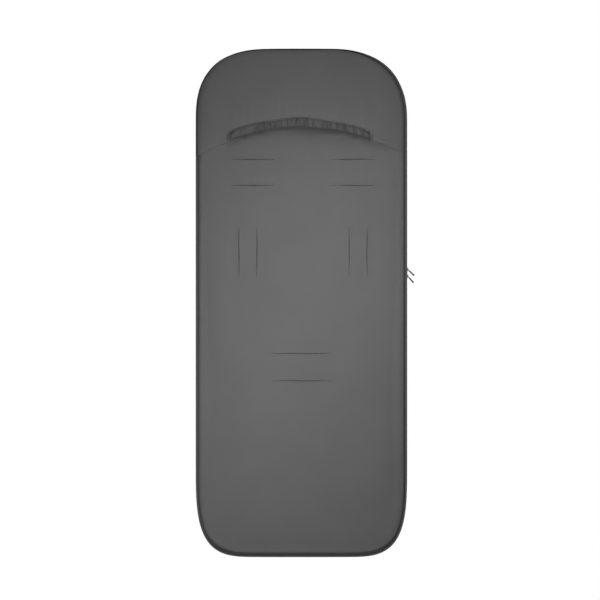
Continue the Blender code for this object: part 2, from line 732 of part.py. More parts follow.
def main():
    clear_scene()
    cutter = slot_cutter()
    back_layers(cutter)
    slot_bindings()
    back_piping()
    pocket_panel()
    head_binding()
    hem_casing()
    zip_half("back", TAPE_NEAR, TAPE_FAR, COIL_NEAR, COIL_FAR)
    hinge = cover_hinge()
    mirrored = [2 * ZIP_DEPTH - depth for depth in (TAPE_FAR, TAPE_NEAR, COIL_FAR, COIL_NEAR)]
    zip_half("cover", *mirrored, parent=hinge)
    front_cover(hinge)
    sliders()


main()
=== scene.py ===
"""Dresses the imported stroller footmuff: cloth, padding, piping, zip and stage.

Metres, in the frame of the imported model: +Z up towards the head end, -Y out of the back face, which the
photograph shows, and +Y out of the front cover. An inset is a distance inwards from the outline that the
footmuff has from behind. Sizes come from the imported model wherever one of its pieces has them.
"""

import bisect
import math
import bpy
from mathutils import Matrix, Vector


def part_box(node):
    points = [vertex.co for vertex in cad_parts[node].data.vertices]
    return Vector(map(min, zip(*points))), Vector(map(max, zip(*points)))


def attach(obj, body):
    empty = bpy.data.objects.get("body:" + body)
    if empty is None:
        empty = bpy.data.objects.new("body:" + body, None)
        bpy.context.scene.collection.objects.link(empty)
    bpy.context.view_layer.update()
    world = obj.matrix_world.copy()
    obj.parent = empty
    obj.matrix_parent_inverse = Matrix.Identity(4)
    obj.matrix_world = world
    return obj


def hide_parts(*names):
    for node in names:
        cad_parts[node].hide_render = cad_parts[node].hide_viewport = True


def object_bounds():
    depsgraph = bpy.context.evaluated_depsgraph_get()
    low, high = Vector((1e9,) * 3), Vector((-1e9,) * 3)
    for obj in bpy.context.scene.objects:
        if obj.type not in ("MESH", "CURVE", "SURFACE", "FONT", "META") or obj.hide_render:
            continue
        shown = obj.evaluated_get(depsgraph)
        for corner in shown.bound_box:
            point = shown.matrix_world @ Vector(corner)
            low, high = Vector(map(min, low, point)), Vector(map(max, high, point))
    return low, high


bl_info = {
    "name": "Stroller Footmuff",
    "version": (1, 0, 0),
    "blender": (4, 5, 0),
    "location": "3D View > Sidebar > Footmuff",
    "description": "Makes the cloth, padding, zip and stage of a padded stroller footmuff",
    "category": "Object",
}

import bmesh
import bpy
from bpy.props import FloatProperty, FloatVectorProperty, IntProperty, PointerProperty
from mathutils import Matrix, Vector, noise
from mathutils.bvhtree import BVHTree

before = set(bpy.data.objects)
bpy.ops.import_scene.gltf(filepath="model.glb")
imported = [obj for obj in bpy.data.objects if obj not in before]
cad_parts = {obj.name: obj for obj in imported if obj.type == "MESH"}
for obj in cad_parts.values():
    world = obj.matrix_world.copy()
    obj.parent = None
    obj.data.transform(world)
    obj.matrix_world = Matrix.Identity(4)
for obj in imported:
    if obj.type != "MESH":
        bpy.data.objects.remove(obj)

CAD_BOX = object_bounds()
BACK_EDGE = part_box("back_piping")
COVER_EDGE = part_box("cover_piping")
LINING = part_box("back_lining")
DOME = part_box("cover_shell")
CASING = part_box("pocket_hem_casing")
COIL_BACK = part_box("zip_coil_back")
COIL_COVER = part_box("zip_coil_cover")
TAPE_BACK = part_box("zip_tape_back")
TAPE_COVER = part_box("zip_tape_cover")
COVER_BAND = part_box("cover_top_binding")

Y_AXIS = Vector((0, 1, 0))
Z_AXIS = Vector((0, 0, 1))


def length(label, default, what):
    return FloatProperty(name=label, description=what, default=default, unit="LENGTH", precision=4)


def share(label, default, what):
    return FloatProperty(name=label, description=what, default=default, min=0, soft_max=4)


def count(label, default, what):
    return IntProperty(name=label, description=what, default=default, min=1)


def colour(label, grey, what, warm=0.0):
    default = (grey + warm, grey, grey - warm)
    return FloatVectorProperty(
        name=label, description=what, default=default, subtype="COLOR", size=3, min=0, max=1
    )


class FootmuffSizes(bpy.types.PropertyGroup):
    """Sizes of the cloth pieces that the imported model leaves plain."""

    half_width: length("Half width", BACK_EDGE[1].x, "From the middle to the piping's outer side")
    foot: length("Foot end", CAD_BOX[0].z, "Height of the foot end")
    head: length("Head end", CAD_BOX[1].z, "Height of the head end")
    head_across: length("Head corner across", 0.149, "Width that a head corner takes up")
    head_down: length("Head corner down", 0.1415, "Height that a head corner takes up")
    head_squareness: share("Head squareness", 2.50, "2 is an ellipse, and more is squarer")
    head_slack: share("Head slack", 0.13, "How much squarer the left head corner hangs than the right")
    head_crown: length("Head crown", 0.0028, "How far the head end bows out in its middle")
    foot_across: length("Foot corner across", 0.1235, "Width that a foot corner takes up")
    foot_up: length("Foot corner up", 0.189, "Height that a foot corner takes up")
    foot_squareness: share("Foot squareness", 3.65, "2 is an ellipse, and more is squarer")
    foot_crown: length("Foot crown", 0.0006, "How far the foot end bows out in its middle")
    seam: length("Seam depth", (BACK_EDGE[0].y + BACK_EDGE[1].y) / 2, "Depth of the back's edge seam")
    piping_radius: length("Piping radius", 0.0023, "Radius of the piping")
    flange: length("Piping flange", 0.0052, "Width of the piping's strip that is sewn into the seam")
    head_tape_radius: length("Head tape radius", 0.0012, "Half the width of the head's edge tape")
    back_inner: length("Back inner face", LINING[1].y, "Depth of the back's lining")
    lining: length("Lining thickness", 0.002, "Thickness of the fleece")
    rim: length("Panel rim", 0.0049, "Inset of a panel's edge, beside the piping")
    edge_round: length("Edge rounding", 0.0100, "Width over which the back rounds down to its seam")
    edge_right: length("Right edge rounding", 0.0040, "How much wider that rounding is on the right")
    edge_uneven: length("Edge unevenness", 0.0022, "How much the width of the rounding wanders")
    crown_reach: length("Crown reach", 0.045, "Inset where the back becomes flat")
    crown_draw: length("Crown draw", 0.0008, "How far the back curves down outside the rounding")
    lining_draw: length("Lining draw", 0.003, "How far the lining is drawn in at the seam")
    pocket_reach: length("Pocket reach", 0.060, "Inset where the pocket becomes flat")
    pocket_lift: length("Pocket lift", 0.0065, "How far the pocket stands off the back")
    pocket_cloth: length("Pocket cloth", 0.0010, "Thickness of the pocket's cloth")
    hem_apex: length("Hem apex", 0.3686, "Height of the hem's arch")
    hem_rise: length("Hem rise", 0.0535, "Rise of the hem's arch over the whole width")
    hem_tilt: length("Hem tilt", 0.003, "How far the hem's right half stands above the left")
    hem_band: length("Casing height", 0.0195, "Height of the gathered casing")
    ruck: length("Ruck height", 0.0024, "Height of the casing's gathers")
    slot_binding: length("Slot binding", 0.0015, "Width of the packed slot's binding")
    slot_hole: length("Slot hole", 0.0041, "Half width of the hole that a slot's lips fill")
    slot_gap: length("Slot gap", 0.00030, "How far a slot's lips stand open at their middle")
    slot_bend: length("Slot bend", 0.0012, "How far the closed lips bend aside inside the panel")
    cover_seam: length("Cover seam depth", (COVER_EDGE[0].y + COVER_EDGE[1].y) / 2, "Depth of its seam")
    cover_top: length("Cover top", DOME[1].z, "Height of the cover's open edge")
    cover_reach: length("Cover reach", 0.120, "Inset where the dome becomes flat")
    cover_wall: length("Cover wall", 0.0136, "Thickness of the cover with its lining")
    cover_crest: length("Cover crest", DOME[1].y, "Depth of the dome's outermost point")
    zip_top: length("Zip top", COIL_BACK[1].z, "Height where the coils end")
    coil_pitch: length("Coil pitch", 0.0016, "Distance between two turns of a coil")
    voxel: length("Pad voxel", 0.006, "Mesh size of a pad while it is blown up")
    pad_swell: length("Pad swell", 0.0030, "How far the back's padding may swell")
    cover_swell: length("Cover swell", 0.0060, "How far the cover's padding may swell")
    pad_pressure: share("Pad pressure", 4.0, "Pressure in the padding")
    pad_frames: count("Pad frames", 20, "Frames that the padding swells for")


class FootmuffColours(bpy.types.PropertyGroup):
    """Colours of the cloths, threads, metal and rubber, and of the painted shade."""

    shell: colour("Outer cloth", 0.130, "Woven outer cloth")
    pocket: colour("Pocket cloth", 0.127, "The pocket's panel")
    casing: colour("Hem casing", 0.104, "Gathered casing of the pocket's hem")
    piping: colour("Piping", 0.085, "Piping round the two panels")
    # Painted shade: the woven cloths go over to this colour in seams, slits, ruck valleys and under the hem
    seam_dark: colour("Seam shade", 0.049, "Cloth down in the edge seam")
    # The head tape is darker where it is thin on the left, a painted shade of the seam line there
    head_tape: colour("Head tape", 0.034, "Bound edge of the head end, where it is thin")
    cover_tape: colour("Cover tape", 0.070, "Bound edge of the cover's top")
    thread: colour("Thread", 0.070, "Stitches and tacks")
    fleece: colour("Fleece", 0.150, "Lining", warm=-0.002)
    zip_tape: colour("Zip tape", 0.050, "Woven tape of the zip")
    nylon: colour("Nylon", 0.030, "Coils and stops of the zip")
    elastic: colour("Elastic", 0.055, "Elastic in the hem")
    metal: colour("Slider metal", 0.035, "Sliders")
    rubber: colour("Pull rubber", 0.022, "Pulls")


class FootmuffStage(bpy.types.PropertyGroup):
    """The photograph's view, and the light on the footmuff."""

    picture_side: count("Picture side", 600, "Width and height of the photograph in pixels")
    pixel: length("Pixel size", 0.001965, "What one pixel of the photograph covers")
    middle_px: share("Middle pixel", 300.95, "Column of the photograph with the footmuff's middle")
    foot_px: share("Foot pixel", 556.65, "Row of the photograph with the foot end")
    lens: share("Lens", 100.0, "Focal length in millimetres")
    floor: length("Floor height", -0.72, "Height of the floor under the held footmuff")
    floor_side: length("Floor side", 14.0, "Width of the floor")
    shadow_from: length("Shadow from", 0.45, "Distance where the floor begins to fade to white")
    shadow_to: length("Shadow to", 0.85, "Distance where the floor has become white")
    upper_power: share("Upper lamp", 1.07, "Soft lamp near the back's upper right, in watts")
    lower_power: share("Lower lamp", 2.26, "Soft lamp near the back's lower left, in watts")
    over_power: share("Overhead lamp", 2.94, "Soft lamp above the head end, in watts")
    cover_power: share("Cover lamp", 16.0, "Soft lamp on the cover's side, in watts")
    ambient: share("Ambient", 0.10, "Strength of the even light from all round")


def sizes():
    return bpy.context.scene.footmuff_sizes


def colours():
    return bpy.context.scene.footmuff_colours


# Steps of the outline's parts, from the middle of the foot end to the middle of the head end
LEVEL_STEPS = 8
CORNER_STEPS = 28
SIDE_STEPS = 84

# Halvings in the search for the ring through a point, and how near a cut a row may lie, in gaps
RING_SEARCH = 14
ROW_MARGIN = 0.25

# Points nearer than this are one, and two cloths that touch stay this far apart
WELD = 1e-6
SURFACE_GAP = 0.0003

# Cloth that is drawn down to a seam: how its depth falls off with the inset
DRAWN_START = 0.0070
BACK_FALLOFF = 2.5
LINING_FALLOFF = 2.0
POCKET_FALLOFF = 2.2

# The pocket's hem lies nearly flush at the sides, most of all on the left: from and to a distance from
# the middle, and by how much. The cloth above it does so less and less, by a height
FLUSH_LEFT = (0.120, 0.165, 0.96)
FLUSH_RIGHT = (0.150, 0.185, 0.45)
FLUSH_HEIGHT = 0.030

# Unevenness of the back's rounding: grain and seed
EDGE_WANDER = (0.045, 13.0)

# How much fuller the pocket lies at its edge than the back, how far the back is pressed in under it, the
# height of the dip that this leaves below the hem, and how much less there is of it where the hem is flush
POCKET_FULLER = 0.0022
POCKET_PRESS = 0.0012
HEM_DIP = 0.004
FLUSH_DIP = 0.8

# The hem sags on the right, where its casing is tallest: the sag begins and ends over these widths, and
# the casing's fuller place has a middle and a half width
HEM_SAG = 0.0050
HEM_SAG_START = (-0.005, 0.050)
HEM_SAG_END = (0.150, 0.205)
CASING_FULLER = 0.0045
CASING_FULL_SPAN = (0.055, 0.030)

# The head end's edge is a thin tape on the left, and rolls over to be as wide as the piping on the
# right: from and to an x, and how far in that draws the cloth
ROLL = (0.06, 0.15)
ROLL_IN = 0.0030

# Above the hem the edge's rounding is narrower on the right and wider on the left
HEAD_ROUND_RIGHT = -0.0065
HEAD_ROUND_LEFT = 0.0030
HEAD_ROUND_RISE = 0.030

# How rounded the ridges of gathered cloth are, and how far a tape's ripples change across it
RIDGE_POWER = 0.6
RIPPLES_ACROSS = 3


def clamp(value):
    return min(max(value, 0.0), 1.0)


def smooth_step(low, high, value):
    """0 below low, 1 above high and a soft rise between them."""
    t = clamp((value - low) / (high - low))
    return t * t * (3 - 2 * t)


def band(rise, fade, value):
    """A soft rise over one span of values, and a soft fall over another."""
    return smooth_step(*rise, value) * (1 - smooth_step(*fade, value))


def hump(value, middle, half):
    """1 at the middle, and a soft fall over the half width on either side."""
    return math.exp(-(((value - middle) / half) ** 2))


def squarer(value, power):
    """A sine or cosine raised to a power, with its sign kept."""
    return math.copysign(abs(value) ** power, value)


def wander(x, z, grain, seed):
    """Smooth unevenness between about -1 and 1, with bumps of one grain size."""
    return noise.noise(Vector((x / grain, seed, z / grain))) * 2


def ridges(x, z, grain, seed, sharpness):
    """Rounded folds between 0 and 1 with narrow valleys, as in gathered cloth."""
    return min(abs(noise.noise(Vector((x / grain, seed, z / grain)))) * sharpness, 1.0) ** RIDGE_POWER


def fold(x, z, kind):
    """Height of a cloth's soft folds. A kind is their height, grain and seed."""
    height, grain, seed = kind
    return height * wander(x, z, grain, seed)


def ripple(distance, across, kind):
    """Height of a tape's ripples at a distance along it and a part of the way across."""
    height, grain, seed = kind
    return height * noise.noise(Vector((distance / grain, across * RIPPLES_ACROSS, seed)))


def puckered(cells, turn, seed, height):
    """How much wider than its radius a tube's cloth is. It has no step where it meets itself."""
    return 1 + height * noise.noise(Vector((cells, math.cos(turn), math.sin(turn) + seed)))


class Pattern:
    """The footmuff's outline and faces, worked out from the sizes."""

    def __init__(self):
        source = sizes()
        for name in source.__annotations__:
            setattr(self, name, getattr(source, name))
        self.kept = {}

    def crown(self, x):
        """1 in the middle and 0 at the sides, as an end bows out."""
        return 1 - (x / self.half_width) ** 2

    def head_power(self, side):
        """Squareness of the head's corner on the right, 1, or on the left, -1."""
        return self.head_squareness - side * self.head_slack

    def corner(self, inset, across, squareness):
        """A corner from the side to the level end, as x and a share of its rise."""
        power = 2 / squareness
        points = []
        for step in range(CORNER_STEPS + 1):
            turn = math.pi / 2 * step / CORNER_STEPS
            x = self.half_width - across + (across - inset) * math.cos(turn) ** power
            points.append((x, math.sin(turn) ** power))
        return points

    def half(self, inset, side):
        """One half of the outline at an inset, the right one, 1, or the left, -1, as (x, z) from the
        foot's middle to the head's. x is positive on either side."""
        points = []
        flat = self.half_width - self.foot_across
        rise = self.foot_up - self.foot_crown - inset
        for step in range(LEVEL_STEPS):
            x = flat * step / LEVEL_STEPS
            points.append((x, self.foot + inset + self.foot_crown * (1 - self.crown(x))))
        for x, bend in reversed(self.corner(inset, self.foot_across, self.foot_squareness)):
            drop = rise * bend + self.foot_crown * self.crown(x) * bend
            points.append((x, self.foot + self.foot_up - drop))
        low, high = self.foot + self.foot_up, self.head - self.head_down
        for step in range(1, SIDE_STEPS):
            points.append((self.half_width - inset, low + (high - low) * step / SIDE_STEPS))
        flat = self.half_width - self.head_across
        rise = self.head_down - self.head_crown - inset
        for x, bend in self.corner(inset, self.head_across, self.head_power(side)):
            points.append((x, high + rise * bend + self.head_crown * self.crown(x) * bend))
        for step in range(LEVEL_STEPS - 1, -1, -1):
            x = flat * step / LEVEL_STEPS
            points.append((x, self.head - inset - self.head_crown * (1 - self.crown(x))))
        return points

    def side_points(self, inset, side):
        """The half outline without its level ends, kept because many points ask for it."""
        key = (inset, side)
        if key not in self.kept:
            self.kept[key] = self.half(inset, side)[LEVEL_STEPS:-LEVEL_STEPS]
        return self.kept[key]

    def half_at(self, inset, z, side):
        """Half width of the outline at an inset and a height."""
        points = self.side_points(inset, side)
        index = bisect.bisect_right(points, z, key=lambda point: point[1]) - 1
        index = min(max(index, 0), len(points) - 2)
        (x1, z1), (x2, z2) = points[index], points[index + 1]
        return x1 + (x2 - x1) * clamp((z - z1) / (z2 - z1))

    def heights(self, inset, low, high, gap):
        """Heights of level rows across the outline, no further apart than a gap. Every inset has as
        many rows."""
        points, guide = self.side_points(inset, 1), self.side_points(self.rim, 1)
        found = []
        for (_, a), (_, b), (_, start), (_, end) in zip(points, points[1:], guide, guide[1:]):
            parts = max(1, math.ceil((end - start) / gap))
            found += [a + (b - a) * step / parts for step in range(parts)]
        found.append(points[-1][1])
        margin = gap * ROW_MARGIN
        lowest = low + margin if low > self.foot else -math.inf
        highest = high - margin if high < self.head else math.inf
        kept = [z for z in found if lowest < z < highest]
        if low > self.foot:
            kept.insert(0, low)
        if high < self.head:
            kept.append(high)
        return kept

    def foot_line(self, inset, right_top, left_top, depth):
        """Line at an inset from a height on the right, round the foot, to a height on the left."""
        corner = self.foot + self.foot_up + SURFACE_GAP
        left = [(-x, z) for x, z in self.half(inset, -1) if z < corner]
        right = [(x, z) for x, z in self.half(inset, 1) if z < corner]
        flat = [(self.half_width - inset, right_top)] + right[:0:-1] + left
        flat.append((inset - self.half_width, left_top))
        return Path([(x, depth, z) for x, z in flat])

    def head_line(self, inset, left_bottom, right_bottom, depth):
        """Line at an inset from a height on the left, over the head, to a height on the right."""
        side = self.head - self.head_down - SURFACE_GAP
        left = [(-x, z) for x, z in self.half(inset, -1) if z > side]
        right = [(x, z) for x, z in self.half(inset, 1) if z > side]
        flat = [(inset - self.half_width, left_bottom)] + left[:-1] + right[::-1]
        flat.append((self.half_width - inset, right_bottom))
        return Path([(x, depth, z) for x, z in flat])

    def inset_at(self, x, z):
        """Inset of the outline's ring through a point."""
        below, above = self.foot + self.foot_up - z, z - self.head + self.head_down
        if below > 0:
            across, rise, power, down = self.foot_across, self.foot_up, self.foot_squareness, below
        elif above > 0:
            across, rise, down = self.head_across, self.head_down, above
            power = self.head_power(math.copysign(1, x))
        else:
            return self.half_width - abs(x)
        flat = self.half_width - across
        if abs(x) <= flat:
            return rise - down
        low, high = -self.rim, min(across - (abs(x) - flat), rise - down)
        for _ in range(RING_SEARCH):
            middle = (low + high) / 2
            reach = ((abs(x) - flat) / (across - middle)) ** power + (down / (rise - middle)) ** power
            if reach > 1:
                high = middle
            else:
                low = middle
        return low

    def drawn(self, inset, reach, falloff):
        """1 at the edge seam and 0 where a panel has become flat."""
        return (1 - clamp((inset - DRAWN_START) / (reach - DRAWN_START))) ** falloff

    def back_y(self, x, z, fuller):
        """Depth of the back's outer cloth: flat, then rounded down into the edge seam. A cloth that lies
        over it is fuller at its edge."""
        inset = self.inset_at(x, z) + fuller
        width = self.edge_round + self.edge_right * smooth_step(0, self.half_width, x)
        width += self.edge_uneven * wander(x, z, *EDGE_WANDER)
        head = HEAD_ROUND_RIGHT if x > 0 else HEAD_ROUND_LEFT
        above = smooth_step(0, HEAD_ROUND_RISE, z - self.hem_z(x))
        width += head * smooth_step(0, self.half_width, abs(x)) * above
        flat = clamp((inset - self.rim) / width)
        down = 1 - math.sqrt(1 - (1 - flat) ** 2)
        return self.seam * down + self.crown_draw * self.drawn(inset, self.crown_reach, BACK_FALLOFF) * flat

    def lining_y(self, inset):
        """Depth of the lining's inner face, which is drawn in towards the seam."""
        return self.back_inner - self.lining_draw * self.drawn(inset, self.crown_reach, LINING_FALLOFF)

    def roll(self, x):
        """How far the head end's edge is rolled over: 0 on the left and 1 on the right."""
        return smooth_step(*ROLL, x)

    def flush(self, x):
        """How nearly the pocket's hem lies level with the back."""
        start, full, amount = FLUSH_RIGHT if x > 0 else FLUSH_LEFT
        return amount * smooth_step(start, full, abs(x))

    def pocket_y(self, x, z):
        """Depth of the pocket's cloth: off the back in the middle, and down on it at the edge."""
        drawn = self.drawn(self.inset_at(x, z), self.pocket_reach, POCKET_FALLOFF)
        above = max(z - self.hem_z(x), 0)
        lift = self.pocket_lift * (1 - drawn) * (1 - self.flush(x) * math.exp(-above / FLUSH_HEIGHT))
        return self.back_y(x, z, POCKET_FULLER - ROLL_IN * self.roll(x)) - lift

    def under_pocket(self, x, z):
        """1 where the pocket covers the back, and 0 from a little below its hem."""
        dip = HEM_DIP * (1 - FLUSH_DIP * self.flush(x))
        return smooth_step(-dip, HEM_DIP / 2, z - self.hem_z(x))

    def dome_y(self, inset, offset):
        """Depth of the cover's dome at an inset, an offset inside its outer face."""
        span = self.cover_reach - self.rim - offset
        across = clamp((self.cover_reach - inset) / span)
        return self.cover_seam + (self.cover_crest - self.cover_seam - offset) * math.sqrt(1 - across**2)

    def hem_z(self, x):
        """Height of the pocket's arched hem."""
        part = x / self.half_width
        sag = HEM_SAG * smooth_step(*HEM_SAG_START, x) * (1 - smooth_step(*HEM_SAG_END, x))
        return self.hem_apex - self.hem_rise * part**2 + self.hem_tilt * part - sag

    def casing_height(self, x):
        """Height of the gathered casing above the hem."""
        return self.hem_band + CASING_FULLER * hump(x, *CASING_FULL_SPAN)

    def slots(self):
        """Each harness slot's name, middle, half length and whether it runs upright."""
        found = []
        for name in sorted(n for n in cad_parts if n.startswith("slot_binding_")):
            low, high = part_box(name)
            upright = high.z - low.z > high.x - low.x
            reach = (high.z - low.z if upright else high.x - low.x) / 2 - self.slot_binding
            found.append((name, (low + high) / 2, reach, upright))
        return found


class Path:
    """A line of points, measured along its length."""

    def __init__(self, points):
        self.points = [Vector(p) for p in points]
        self.marks = [0.0]
        for a, b in zip(self.points, self.points[1:]):
            self.marks.append(self.marks[-1] + (b - a).length)
        self.length = self.marks[-1]
        last = len(self.points) - 1
        self.ways = [
            (self.points[min(i + 1, last)] - self.points[max(i - 1, 0)]).normalized()
            for i in range(last + 1)
        ]

    def at(self, distance):
        """The place and the direction at a distance from the start."""
        index = bisect.bisect_right(self.marks, distance) - 1
        index = min(max(index, 0), len(self.points) - 2)
        part = (distance - self.marks[index]) / (self.marks[index + 1] - self.marks[index])
        place = self.points[index].lerp(self.points[index + 1], part)
        return place, self.ways[index].lerp(self.ways[index + 1], part).normalized()


# Meshes

# How far apart the rows of a panel's mesh are at most
PANEL_GAP = 0.008


def mapped_grid(columns, rows, place, bm=None):
    """A grid whose vertices go to place(u, v), with u and v from 0 to 1 and a map of them."""
    if bm is None:
        bm = bmesh.new()
        bm.loops.layers.uv.new("along")
    made = bmesh.ops.create_grid(bm, x_segments=columns, y_segments=rows, size=0.5, calc_uvs=True)
    for vert in made["verts"]:
        vert.co = place(vert.co.x + 0.5, vert.co.y + 0.5)
    return bm


def scale_map(bm, across, along):
    """Stretches a grid's map to the piece's real lengths, in metres."""
    layer = bm.loops.layers.uv["along"]
    for face in bm.faces:
        for loop in face.loops:
            loop[layer].uv = (loop[layer].uv.x * across, loop[layer].uv.y * along)


def weld(bm, close_ends=True):
    """Joins a grid's meeting edges and fills open ends."""
    bmesh.ops.remove_doubles(bm, verts=bm.verts, dist=WELD)
    if close_ends:
        bmesh.ops.holes_fill(bm, edges=bm.edges, sides=0)


def panel_grid(pattern, inset, depth, high, columns, bm=None):
    """A sheet over the outline up to a height, at depth(x, z). Its columns are close at the sides."""
    heights = pattern.heights(inset, pattern.foot, high, PANEL_GAP)
    last = len(heights) - 1

    def place(u, v):
        z = heights[round(v * last)]
        t = math.sin(math.pi * (u - 0.5))
        x = pattern.half_at(inset, z, math.copysign(1, t)) * t
        return Vector((x, depth(x, z), z))

    return mapped_grid(columns, last, place, bm)


def closed_pad(pattern, outer, inner, wall, high, columns):
    """Two sheets, the inner one set in by the wall, joined at their rims. Gives the pad and how many
    points its outer sheet has, which come first."""
    bm = panel_grid(pattern, pattern.rim, outer, high, columns)
    outside = len(bm.verts)
    panel_grid(pattern, pattern.rim + wall, inner, high, columns, bm)
    rims = [edge for edge in bm.edges if edge.is_boundary]
    bmesh.ops.bridge_loops(bm, edges=rims)
    return bm, outside


def skin(path, steps, sides, section, bm=None):
    """A closed tube round a path. section(distance, turn) gives its reach outwards and along Y."""

    def place(u, v):
        distance = path.length * u
        centre, way = path.at(distance)
        out, back = section(distance, 2 * math.pi * v)
        return centre + way.cross(Y_AXIS) * out + Y_AXIS * back

    return mapped_grid(steps, sides, place, bm)


# The plain seams' stitches: their pitch, and a stitch's half length and half width
PLAIN_STITCH = (0.0034, (0.0012, 0.00026))
BEAD_SIDES = 5
BEAD_RINGS = 4


def stitches(bm, path, pitch, size, flat=True):
    """A row of stitches along a path, each a small bead of thread of a half length and half width. They
    lie on a face across Y, or else on the path's own upright side."""
    number = max(int(path.length / pitch), 1)
    for index in range(number):
        centre, way = path.at((index + 0.5) * path.length / number)
        up = Y_AXIS if flat else Z_AXIS
        side = way.cross(up)
        turned = Matrix((way * size[0], up * size[1], side * size[1])).transposed().to_4x4()
        matrix = Matrix.Translation(centre) @ turned
        bmesh.ops.create_uvsphere(
            bm, u_segments=BEAD_SIDES, v_segments=BEAD_RINGS, radius=1, matrix=matrix
        )


def sewn_row(start, end, steps, place):
    """A path through place(x) at even steps from one x to another."""
    return Path([place(start + (end - start) * step / steps) for step in range(steps + 1)])


def add_object(name, data):
    """A new object in the scene, at the origin."""
    made = bpy.data.objects.new(name, data)
    bpy.context.scene.collection.objects.link(made)
    return made


def new_object(name, bm, finish, smooth=True):
    """Turns a bmesh into an object whose place is in its mesh."""
    bmesh.ops.recalc_face_normals(bm, faces=bm.faces)
    mesh = bpy.data.meshes.new(name)
    bm.to_mesh(mesh)
    bm.free()
    if smooth:
        mesh.shade_smooth()
    mesh.materials.append(finish)
    return add_object(name, mesh)


def modify(obj, name, kind, **settings):
    """Adds a modifier with its settings."""
    modifier = obj.modifiers.new(name, kind)
    for key, value in settings.items():
        setattr(modifier, key, value)


def settle(obj):
    """Applies an object's modifiers to its mesh."""
    bpy.context.view_layer.update()
    shaped = obj.evaluated_get(bpy.context.evaluated_depsgraph_get())
    finished = bpy.data.meshes.new_from_object(shaped)
    obj.modifiers.clear()
    obj.data = finished
    return obj


# Cloth that turns more sharply than this keeps its edge
SHARP = math.radians(55)


def smooth_to_folds(obj):
    """Shades a finished cloth smooth, but for its sharp turns."""
    obj.data.shade_smooth()
    obj.data.set_sharp_from_angle(angle=SHARP)


def thicken(obj, thickness, way):
    """Gives an open sheet its thickness: along +Y for a way of 1, against it for -1, and 0 for both."""
    up = sum(face.normal.y for face in obj.data.polygons)
    offset = way if up > 0 else -way
    modify(obj, "thickness", "SOLIDIFY", thickness=thickness, offset=offset, use_even_offset=False)
    settle(obj)


# Steps along a slot's side and round its end, and how far its cutter reaches from the back face
STRAIGHT_STEPS = 20
END_STEPS = 6
CUTTER_REACH = 0.03


def slot_loop(centre, reach, upright, half_width, bow):
    """Closed (x, z) loop round a slot. half_width(s) and bow(s) are its half width and its bend at s,
    which goes from -1 to 1 along the slot."""
    loop = []
    end = half_width(1)
    for side in (1, -1):
        for step in range(STRAIGHT_STEPS + 1):
            s = side * (2 * step / STRAIGHT_STEPS - 1)
            loop.append((s * reach, bow(s) - side * half_width(s)))
        for step in range(1, END_STEPS):
            turn = math.pi * step / END_STEPS - math.pi / 2
            loop.append((side * (reach + end * math.cos(turn)), bow(side) + side * end * math.sin(turn)))
    if upright:
        return [(centre.x - b, centre.z + a) for a, b in loop]
    return [(centre.x + a, centre.z + b) for a, b in loop]


def cut_slots(obj, pattern):
    """Cuts a hole for each harness slot."""
    bm = bmesh.new()
    wide = pattern.slot_hole
    for _, centre, reach, upright in pattern.slots():
        loop = slot_loop(centre, reach, upright, lambda s: wide, lambda s: 0.0)
        base = bm.faces.new([bm.verts.new((x, centre.y - CUTTER_REACH, z)) for x, z in loop])
        made = bmesh.ops.extrude_face_region(bm, geom=[base])["geom"]
        moved = [item for item in made if isinstance(item, bmesh.types.BMVert)]
        bmesh.ops.translate(bm, vec=Y_AXIS * 2 * CUTTER_REACH, verts=moved)
    cutter = new_object("slot_cutter", bm, obj.data.materials[0], smooth=False)
    modify(obj, "slots", "BOOLEAN", operation="DIFFERENCE", solver="EXACT", object=cutter)
    settle(obj)
    bpy.data.objects.remove(cutter)


def swell(obj, pattern, pinned):
    """Blows an evenly meshed pad up with cloth simulation. Its sewn points stay where they are."""
    group = obj.vertex_groups.new(name="sewn")
    group.add([vert.index for vert in obj.data.vertices if pinned(vert.co)], 1.0, "REPLACE")
    modifier = obj.modifiers.new("padding", "CLOTH")
    modifier.settings.vertex_group_mass = group.name
    modifier.settings.use_pressure = True
    modifier.settings.uniform_pressure_force = pattern.pad_pressure
    modifier.settings.effector_weights.gravity = 0
    modifier.point_cache.frame_start = 1
    modifier.point_cache.frame_end = pattern.pad_frames
    for number in range(1, pattern.pad_frames + 1):
        bpy.context.scene.frame_set(number)
    settle(obj)
    bpy.context.scene.frame_set(1)


# How far outside a pad the search for its swollen surface begins
FEELER = 0.015


def pad_out(bm, pattern, finish, pinned, cap, free):
    """Blows a closed pad up, and moves its points out to the swollen surface, at most a cap and as
    far as free(co, normal) lets them."""
    rough = new_object("rough_pad", bm.copy(), finish)
    swell(voxels(rough, pattern.voxel), pattern, pinned)
    mesh = rough.data
    tree = BVHTree.FromPolygons([v.co for v in mesh.vertices], [f.vertices for f in mesh.polygons])
    bpy.data.objects.remove(rough)
    bmesh.ops.recalc_face_normals(bm, faces=bm.faces)
    bm.normal_update()
    moves = []
    for vert in bm.verts:
        amount = free(vert.co, vert.normal)
        if amount > 0:
            place = tree.ray_cast(vert.co + vert.normal * FEELER, -vert.normal, FEELER)[0]
            out = (place - vert.co).dot(vert.normal) if place else 0.0
            moves.append((vert, vert.normal * amount * cap * math.tanh(max(out, 0.0) / cap)))
    for vert, move in moves:
        vert.co += move


def voxels(obj, size):
    """Meshes a closed pad anew in even cells."""
    modify(obj, "even", "REMESH", mode="VOXEL", voxel_size=size, use_smooth_shade=True)
    return settle(obj)


def dress(obj, body, slot, *nodes):
    """Makes a piece move with its body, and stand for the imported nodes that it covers."""
    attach(obj, body)
    if nodes:
        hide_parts(*nodes)
    return obj


# Finishes


def add_node(tree, kind, inputs=None, **settings):
    """A new node, with values or other nodes' outputs on its inputs."""
    node = tree.nodes.new(kind)
    for key, value in settings.items():
        setattr(node, key, value)
    for key, value in (inputs or {}).items():
        if isinstance(value, bpy.types.NodeSocket):
            tree.links.new(value, node.inputs[key])
        else:
            node.inputs[key].default_value = value
    return node


